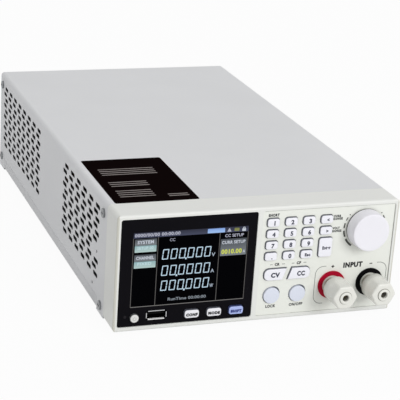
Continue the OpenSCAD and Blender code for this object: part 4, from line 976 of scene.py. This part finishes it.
def add_picture(name, shapes, material):
    """One piece of the picture. The skirt mark goes from 0 at the top of each shape to 1 at its bottom."""
    drop = [(points[:, 2].max() - points[:, 2]) / np.ptp(points[:, 2]) for points, _, _ in shapes]
    add_piece(f"picture_{name}", joined(shapes), material, "case", marks={"skirt": np.concatenate(drop)})


PICTURE_LEFT, PICTURE_RIGHT, PICTURE_LOW, PICTURE_HIGH, BAR_LOW = 8.0, 81.6, 12.7, 61.2, 57.7
COLUMN_LEFT, COLUMN_RIGHT, FIELD_W = 23.6, 63.2, 0.42
# Readings: the foot of each row, the place of its point and its unit
ROWS = [(42.8, 3, "V"), (32.1, 2, "A"), (22.2, 3, "W")]
DIGITS, DIGIT_W, DIGIT_H, DIGIT_PITCH, DIGIT_LEFT, DIGIT_LEAN = 6, 3.9, 6.7, 5.42, 26.5, 0.1
STROKE, DIGIT_OUTER_R, DIGIT_INNER_R, BREAK_W = 0.58, 0.5, 0.12, 0.3
POINT_LEFT, POINT_RIGHT, POINT_LOW, POINT_HIGH, POINT_R = 0.6, 0.5, 0.8, 0.4, 0.1
UNIT_LEFT, UNIT_RIGHT, UNIT_CAP, UNIT_BOLD = 58.5, 60.9, 2.2, 0.03
LOCK_X, LOCK_Z, LOCK_HALF, LOCK_H, LOCK_R = 78.7, 59.7, 1.2, 1.7, 0.2
BOW_R, BOW_RISE, BOW_W = 0.65, 0.2, 0.45
TRIANGLE = [(67.7, 58.2), (70.5, 58.2), (69.1, 60.7)]
# Filled fields: layer, tones at the top and at the bottom, and boxes
FIELDS = {
    "bar": (FIELD_LEVEL, (50, 52, 66), (70, 74, 94), [(PICTURE_LEFT, BAR_LOW, PICTURE_RIGHT, PICTURE_HIGH)]),
    "tab": (PRINT_LEVEL, (134, 166, 226), (160, 194, 240), [(55.0, 58.0, 66.2, 60.8)]),
    "headers": (FIELD_LEVEL, (76, 80, 86), (122, 128, 132),
                [(9.0, 52.8, 22.7, 57.0), (9.0, 42.6, 22.7, 46.9), (64.0, 42.4, 81.0, 53.5)]),
    "mints": (FIELD_LEVEL, (146, 180, 184), (180, 202, 198),
              [(9.0, 48.5, 22.7, 52.7), (9.0, 38.2, 22.7, 42.4)]),
    "chip": (PRINT_LEVEL, (118, 122, 72), (140, 144, 88), [(72.4, 58.4, 75.6, 60.4)]),
}
# Words: tone, then each word with its left and right ends, middle height, capital height and weight
WORDS = {
    "words": ((196, 202, 212), [("SYSTEM", 10.6, 20.9, 55.0, 1.9, 0.04),
                                ("CHANNEL", 10.2, 21.4, 44.8, 1.9, 0.04),
                                ("CURR SETUP", 64.8, 80.2, 51.2, 1.9, 0.03),
                                ("A", 78.9, 80.4, 44.7, 1.7, 0.03)]),
    "grey_words": ((176, 178, 194), [("0000/00/00 00:00:00", 8.7, 37.5, 59.5, 1.9, 0.04),
                                     ("CC", 31.0, 34.4, 55.4, 1.8, 0.0),
                                     ("CC SETUP", 66.6, 78.8, 55.6, 1.8, 0.02)]),
    "run_time": ((136, 144, 152), [("RunTime 00:00:00", 31.8, 56.6, 16.3, 1.8, 0.02)]),
    "mint_words": ((196, 220, 224), [("SETUP 00", 10.6, 20.8, 51.2, 1.7, 0.02),
                                     ("FIXED", 11.2, 20.0, 41.0, 1.7, 0.02)]),
    "yellow": ((206, 214, 92), [("0010.00", 64.8, 78.2, 45.1, 2.7, 0.04)]),
}


def nought(left, low):
    """A nought: a band between two round-cornered boxes, whose sides lean to the right."""
    right, high = left + DIGIT_W, low + DIGIT_H
    outer = round_outline(box_corners(left, low, right, high), DIGIT_OUTER_R)
    inner_box = box_corners(left + STROKE, low + STROKE, right - STROKE, high - STROKE)
    inner = round_outline(inner_box, DIGIT_INNER_R)
    for outline in (outer, inner):
        outline[:, 0] += DIGIT_LEAN * (outline[:, 1] - low)
    front, back = layer(PRINT_LEVEL)
    bands = [(outer, back), (outer, front), (inner, front), (inner, back)]
    return skin(np.stack([upright(on_window(outline), depth) for outline, depth in bands]), loop=True)


def reading(low, point_after):
    """One row of noughts with its decimal point."""
    shapes = [nought(DIGIT_LEFT + DIGIT_PITCH * i, low) for i in range(DIGITS)]
    x = DIGIT_LEFT + DIGIT_PITCH * point_after - (DIGIT_PITCH - DIGIT_W) / 2
    point = x - POINT_LEFT, low - POINT_LOW, x + POINT_RIGHT, low + POINT_HIGH
    return [*shapes, picture_box(*point, PRINT_LEVEL, POINT_R)]


def reading_break(low):
    """The break between the upper and the lower strokes of a row: one dark line across it."""
    z = low + DIGIT_H / 2
    return picture_line([(DIGIT_LEFT, z), (DIGIT_LEFT + DIGITS * DIGIT_PITCH, z)], BREAK_W, BREAK_LEVEL)


def padlock(x, z):
    """A closed padlock: a round-cornered body under a bow."""
    bow = np.concatenate([[[x - BOW_R, z]], arc(x, z + BOW_RISE, BOW_R, 180, 0), [[x + BOW_R, z]]])
    body = picture_box(x - LOCK_HALF, z - LOCK_H, x + LOCK_HALF, z, PRINT_LEVEL, LOCK_R)
    return [body, picture_line(bow, BOW_W)]


screen_box = picture_box(PICTURE_LEFT, PICTURE_LOW, PICTURE_RIGHT, PICTURE_HIGH, SCREEN_LEVEL)
add_picture("black", [screen_box], SCREEN)
uprights = [picture_line([(x, PICTURE_LOW), (x, BAR_LOW)], FIELD_W)
            for x in (PICTURE_LEFT, COLUMN_LEFT, COLUMN_RIGHT, PICTURE_RIGHT)]
add_picture("frame", uprights, shining("lit_frame", (92, 90, 88)))
foot_line = picture_line([(PICTURE_LEFT, PICTURE_LOW), (PICTURE_RIGHT, PICTURE_LOW)], FIELD_W)
add_picture("foot_line", [foot_line], shining("lit_foot_line", (124, 122, 120)))
for name, (level, top, bottom, boxes) in FIELDS.items():
    add_picture(name, [picture_box(*box, level) for box in boxes], shining(f"lit_{name}", top, bottom))
digits = [shape for low, point_after, _ in ROWS for shape in reading(low, point_after)]
add_picture("digits", digits, shining("lit_digits", (192, 216, 232), dim=WORD_DIM))
add_picture("breaks", [reading_break(low) for low, _, _ in ROWS], SCREEN)
units = [picture_words(unit, UNIT_LEFT, UNIT_RIGHT, low + UNIT_CAP / 2, UNIT_CAP, UNIT_BOLD)
         for low, _, unit in ROWS]
add_picture("units", units, shining("lit_units", (164, 176, 190)))
signs = {"words": padlock(LOCK_X, LOCK_Z), "grey_words": [slab(on_window(TRIANGLE), *layer(PRINT_LEVEL))]}
for name, (tone, rows) in WORDS.items():
    shapes = [picture_words(*row) for row in rows] + signs.get(name, [])
    add_picture(name, shapes, shining(f"lit_{name}", tone, dim=WORD_DIM))


# Blank label on the cover: a black film with ruled fields

COVER_LOW, COVER_HIGH = node_box("top_cover")
FRAME_FRONT = node_box("front_frame")[0][1]
LABEL_LEFT, LABEL_RIGHT, LABEL_FRONT, LABEL_BACK, LABEL_R = 4.7, 59.2, 21.5, 103.5, 1.5
LABEL_T, LABEL_SUNK, RULE_T, RULE_W = 0.05, 0.02, 0.01, 1.1
# Ruled fields: left, right, the rearmost rule, pitch and count
RULED_FIELDS = [(11, 48, 84, 3.5, 4), (11, 36, 59, 3.5, 3), (11, 34, 43, 3.5, 4), (42, 55, 33, 3.0, 2)]


def on_cover(flat, height):
    """Cover millimetres, across from its left side and back from the front, at a height above its top."""
    flat = np.asarray(flat, float) * MM
    across = COVER_LOW[0] + flat[..., 0]
    back = FRAME_FRONT + flat[..., 1]
    return np.stack([across, back, np.broadcast_to(COVER_HIGH[2] + height * MM, across.shape)], -1)


def film(outline, height, thick):
    """A thin film on the cover: its outline at two heights."""
    return skin(np.stack([on_cover(outline, height), on_cover(outline, height + thick)]))


def rule(left, right, back):
    """One rule of the label."""
    outline = box_corners(left, back - RULE_W / 2, right, back + RULE_W / 2)
    return film(outline, LABEL_T / 2, LABEL_T / 2 + RULE_T)


label = round_outline(box_corners(LABEL_LEFT, LABEL_FRONT, LABEL_RIGHT, LABEL_BACK), LABEL_R)
add_piece("blank_label", film(label, -LABEL_SUNK, LABEL_T + LABEL_SUNK), LABEL_FILM, "case")
rules = [rule(left, right, back - pitch * i)
         for left, right, back, pitch, count in RULED_FIELDS for i in range(count)]
add_piece("label_rules", joined(rules), LABEL_RULE, "case")


# Camera at the photograph's place, a lamp, floor and background

CAMERA_AT = (-0.3326, -0.9261, 0.3824)
CAMERA_TURN = (69.958, -3.356, -18.577)
LENS, SHIFT_X, SHIFT_Y = 131.23, 0.0513, 0.0142
LAMP_TOWARD, LAMP_FAR, LAMP_SIZE, LAMP_WATTS = (0.34, -1.0, 0.45), 2.2, 0.9, 17
AMBIENT = 0.66
FLOOR_SIZE, FLOOR_TONE, FLOOR_ROUGH, FLOOR_GLOW = 6.0, (0.75, 0.75, 0.75, 1), 0.9, 0.95
PURE_WHITE = (1, 1, 1, 1)


def add_camera():
    """The camera, with its frame taken as 400 by 400 pixels."""
    data = bpy.data.cameras.new("camera")
    data.lens = LENS
    data.shift_x, data.shift_y = SHIFT_X, SHIFT_Y
    camera = bpy.data.objects.new("camera", data)
    camera.location = CAMERA_AT
    camera.rotation_euler = np.radians(CAMERA_TURN)
    bpy.context.scene.collection.objects.link(camera)
    bpy.context.scene.camera = camera


def add_lamp(name, toward, distance, size, watts):
    """A square soft lamp at a distance in a direction from the object's middle, facing it."""
    data = bpy.data.lights.new(name, "AREA")
    data.size = size
    data.energy = watts
    lamp = bpy.data.objects.new(name, data)
    toward = np.array(toward, float) / np.linalg.norm(toward)
    middle = (np.array(cad_box[0]) + np.array(cad_box[1])) / 2
    lamp.location = middle + toward * distance
    flat = math.hypot(toward[0], toward[1])
    lamp.rotation_euler = (math.atan2(flat, toward[2]), 0, math.atan2(toward[0], -toward[1]))
    bpy.context.scene.collection.objects.link(lamp)


def seen_directly(tree):
    """1 for camera, mirror and glass rays, 0 for light that falls on the object."""
    path = tree.nodes.new("ShaderNodeLightPath").outputs
    mirror = maths(tree, "MAXIMUM", path["Is Glossy Ray"], path["Is Transmission Ray"])
    return maths(tree, "MAXIMUM", mirror, path["Is Camera Ray"])


def blended(tree, share, first, second, output):
    """Leads a share of the second shader, and the rest of the first, to an output node."""
    mix = tree.nodes.new("ShaderNodeMixShader")
    for socket, source in zip(mix.inputs, (share, first.outputs[0], second.outputs[0])):
        feed(tree, socket, source)
    feed(tree, tree.nodes[output].inputs["Surface"], mix.outputs[0])


def add_world():
    """White behind the object, and a dimmer even light on it."""
    world = bpy.data.worlds.new("studio")
    world.use_nodes = True
    tree = world.node_tree
    light = tree.nodes["Background"]
    light.inputs["Color"].default_value = PURE_WHITE
    light.inputs["Strength"].default_value = AMBIENT
    white = add_node(tree, "ShaderNodeBackground", Color=PURE_WHITE, Strength=1.0)
    blended(tree, seen_directly(tree), light, white, "World Output")
    bpy.context.scene.world = world


def add_floor():
    """A pale floor that glows white towards the camera and keeps part of the object's shadow."""
    outline = box_corners(-FLOOR_SIZE, -FLOOR_SIZE, FLOOR_SIZE, FLOOR_SIZE)
    mesh = bpy.data.meshes.new("floor")
    mesh.from_pydata(np.pad(outline, ((0, 0), (0, 1))), [], [(0, 1, 2, 3)])
    material = bpy.data.materials.new("floor")
    material.use_nodes = True
    tree = material.node_tree
    paint = tree.nodes["Principled BSDF"]
    paint.inputs["Base Color"].default_value = FLOOR_TONE
    paint.inputs["Roughness"].default_value = FLOOR_ROUGH
    paint.inputs["Specular IOR Level"].default_value = 0.0
    glow = add_node(tree, "ShaderNodeEmission", Strength=1.0)
    blended(tree, maths(tree, "MULTIPLY", seen_directly(tree), FLOOR_GLOW), paint, glow, "Material Output")
    mesh.materials.append(material)
    floor = bpy.data.objects.new("floor", mesh)
    bpy.context.scene.collection.objects.link(floor)


add_camera()
add_lamp("front_lamp", LAMP_TOWARD, LAMP_FAR, LAMP_SIZE, LAMP_WATTS)
add_world()
add_floor()
bpy.context.scene.view_settings.view_transform = "Standard"
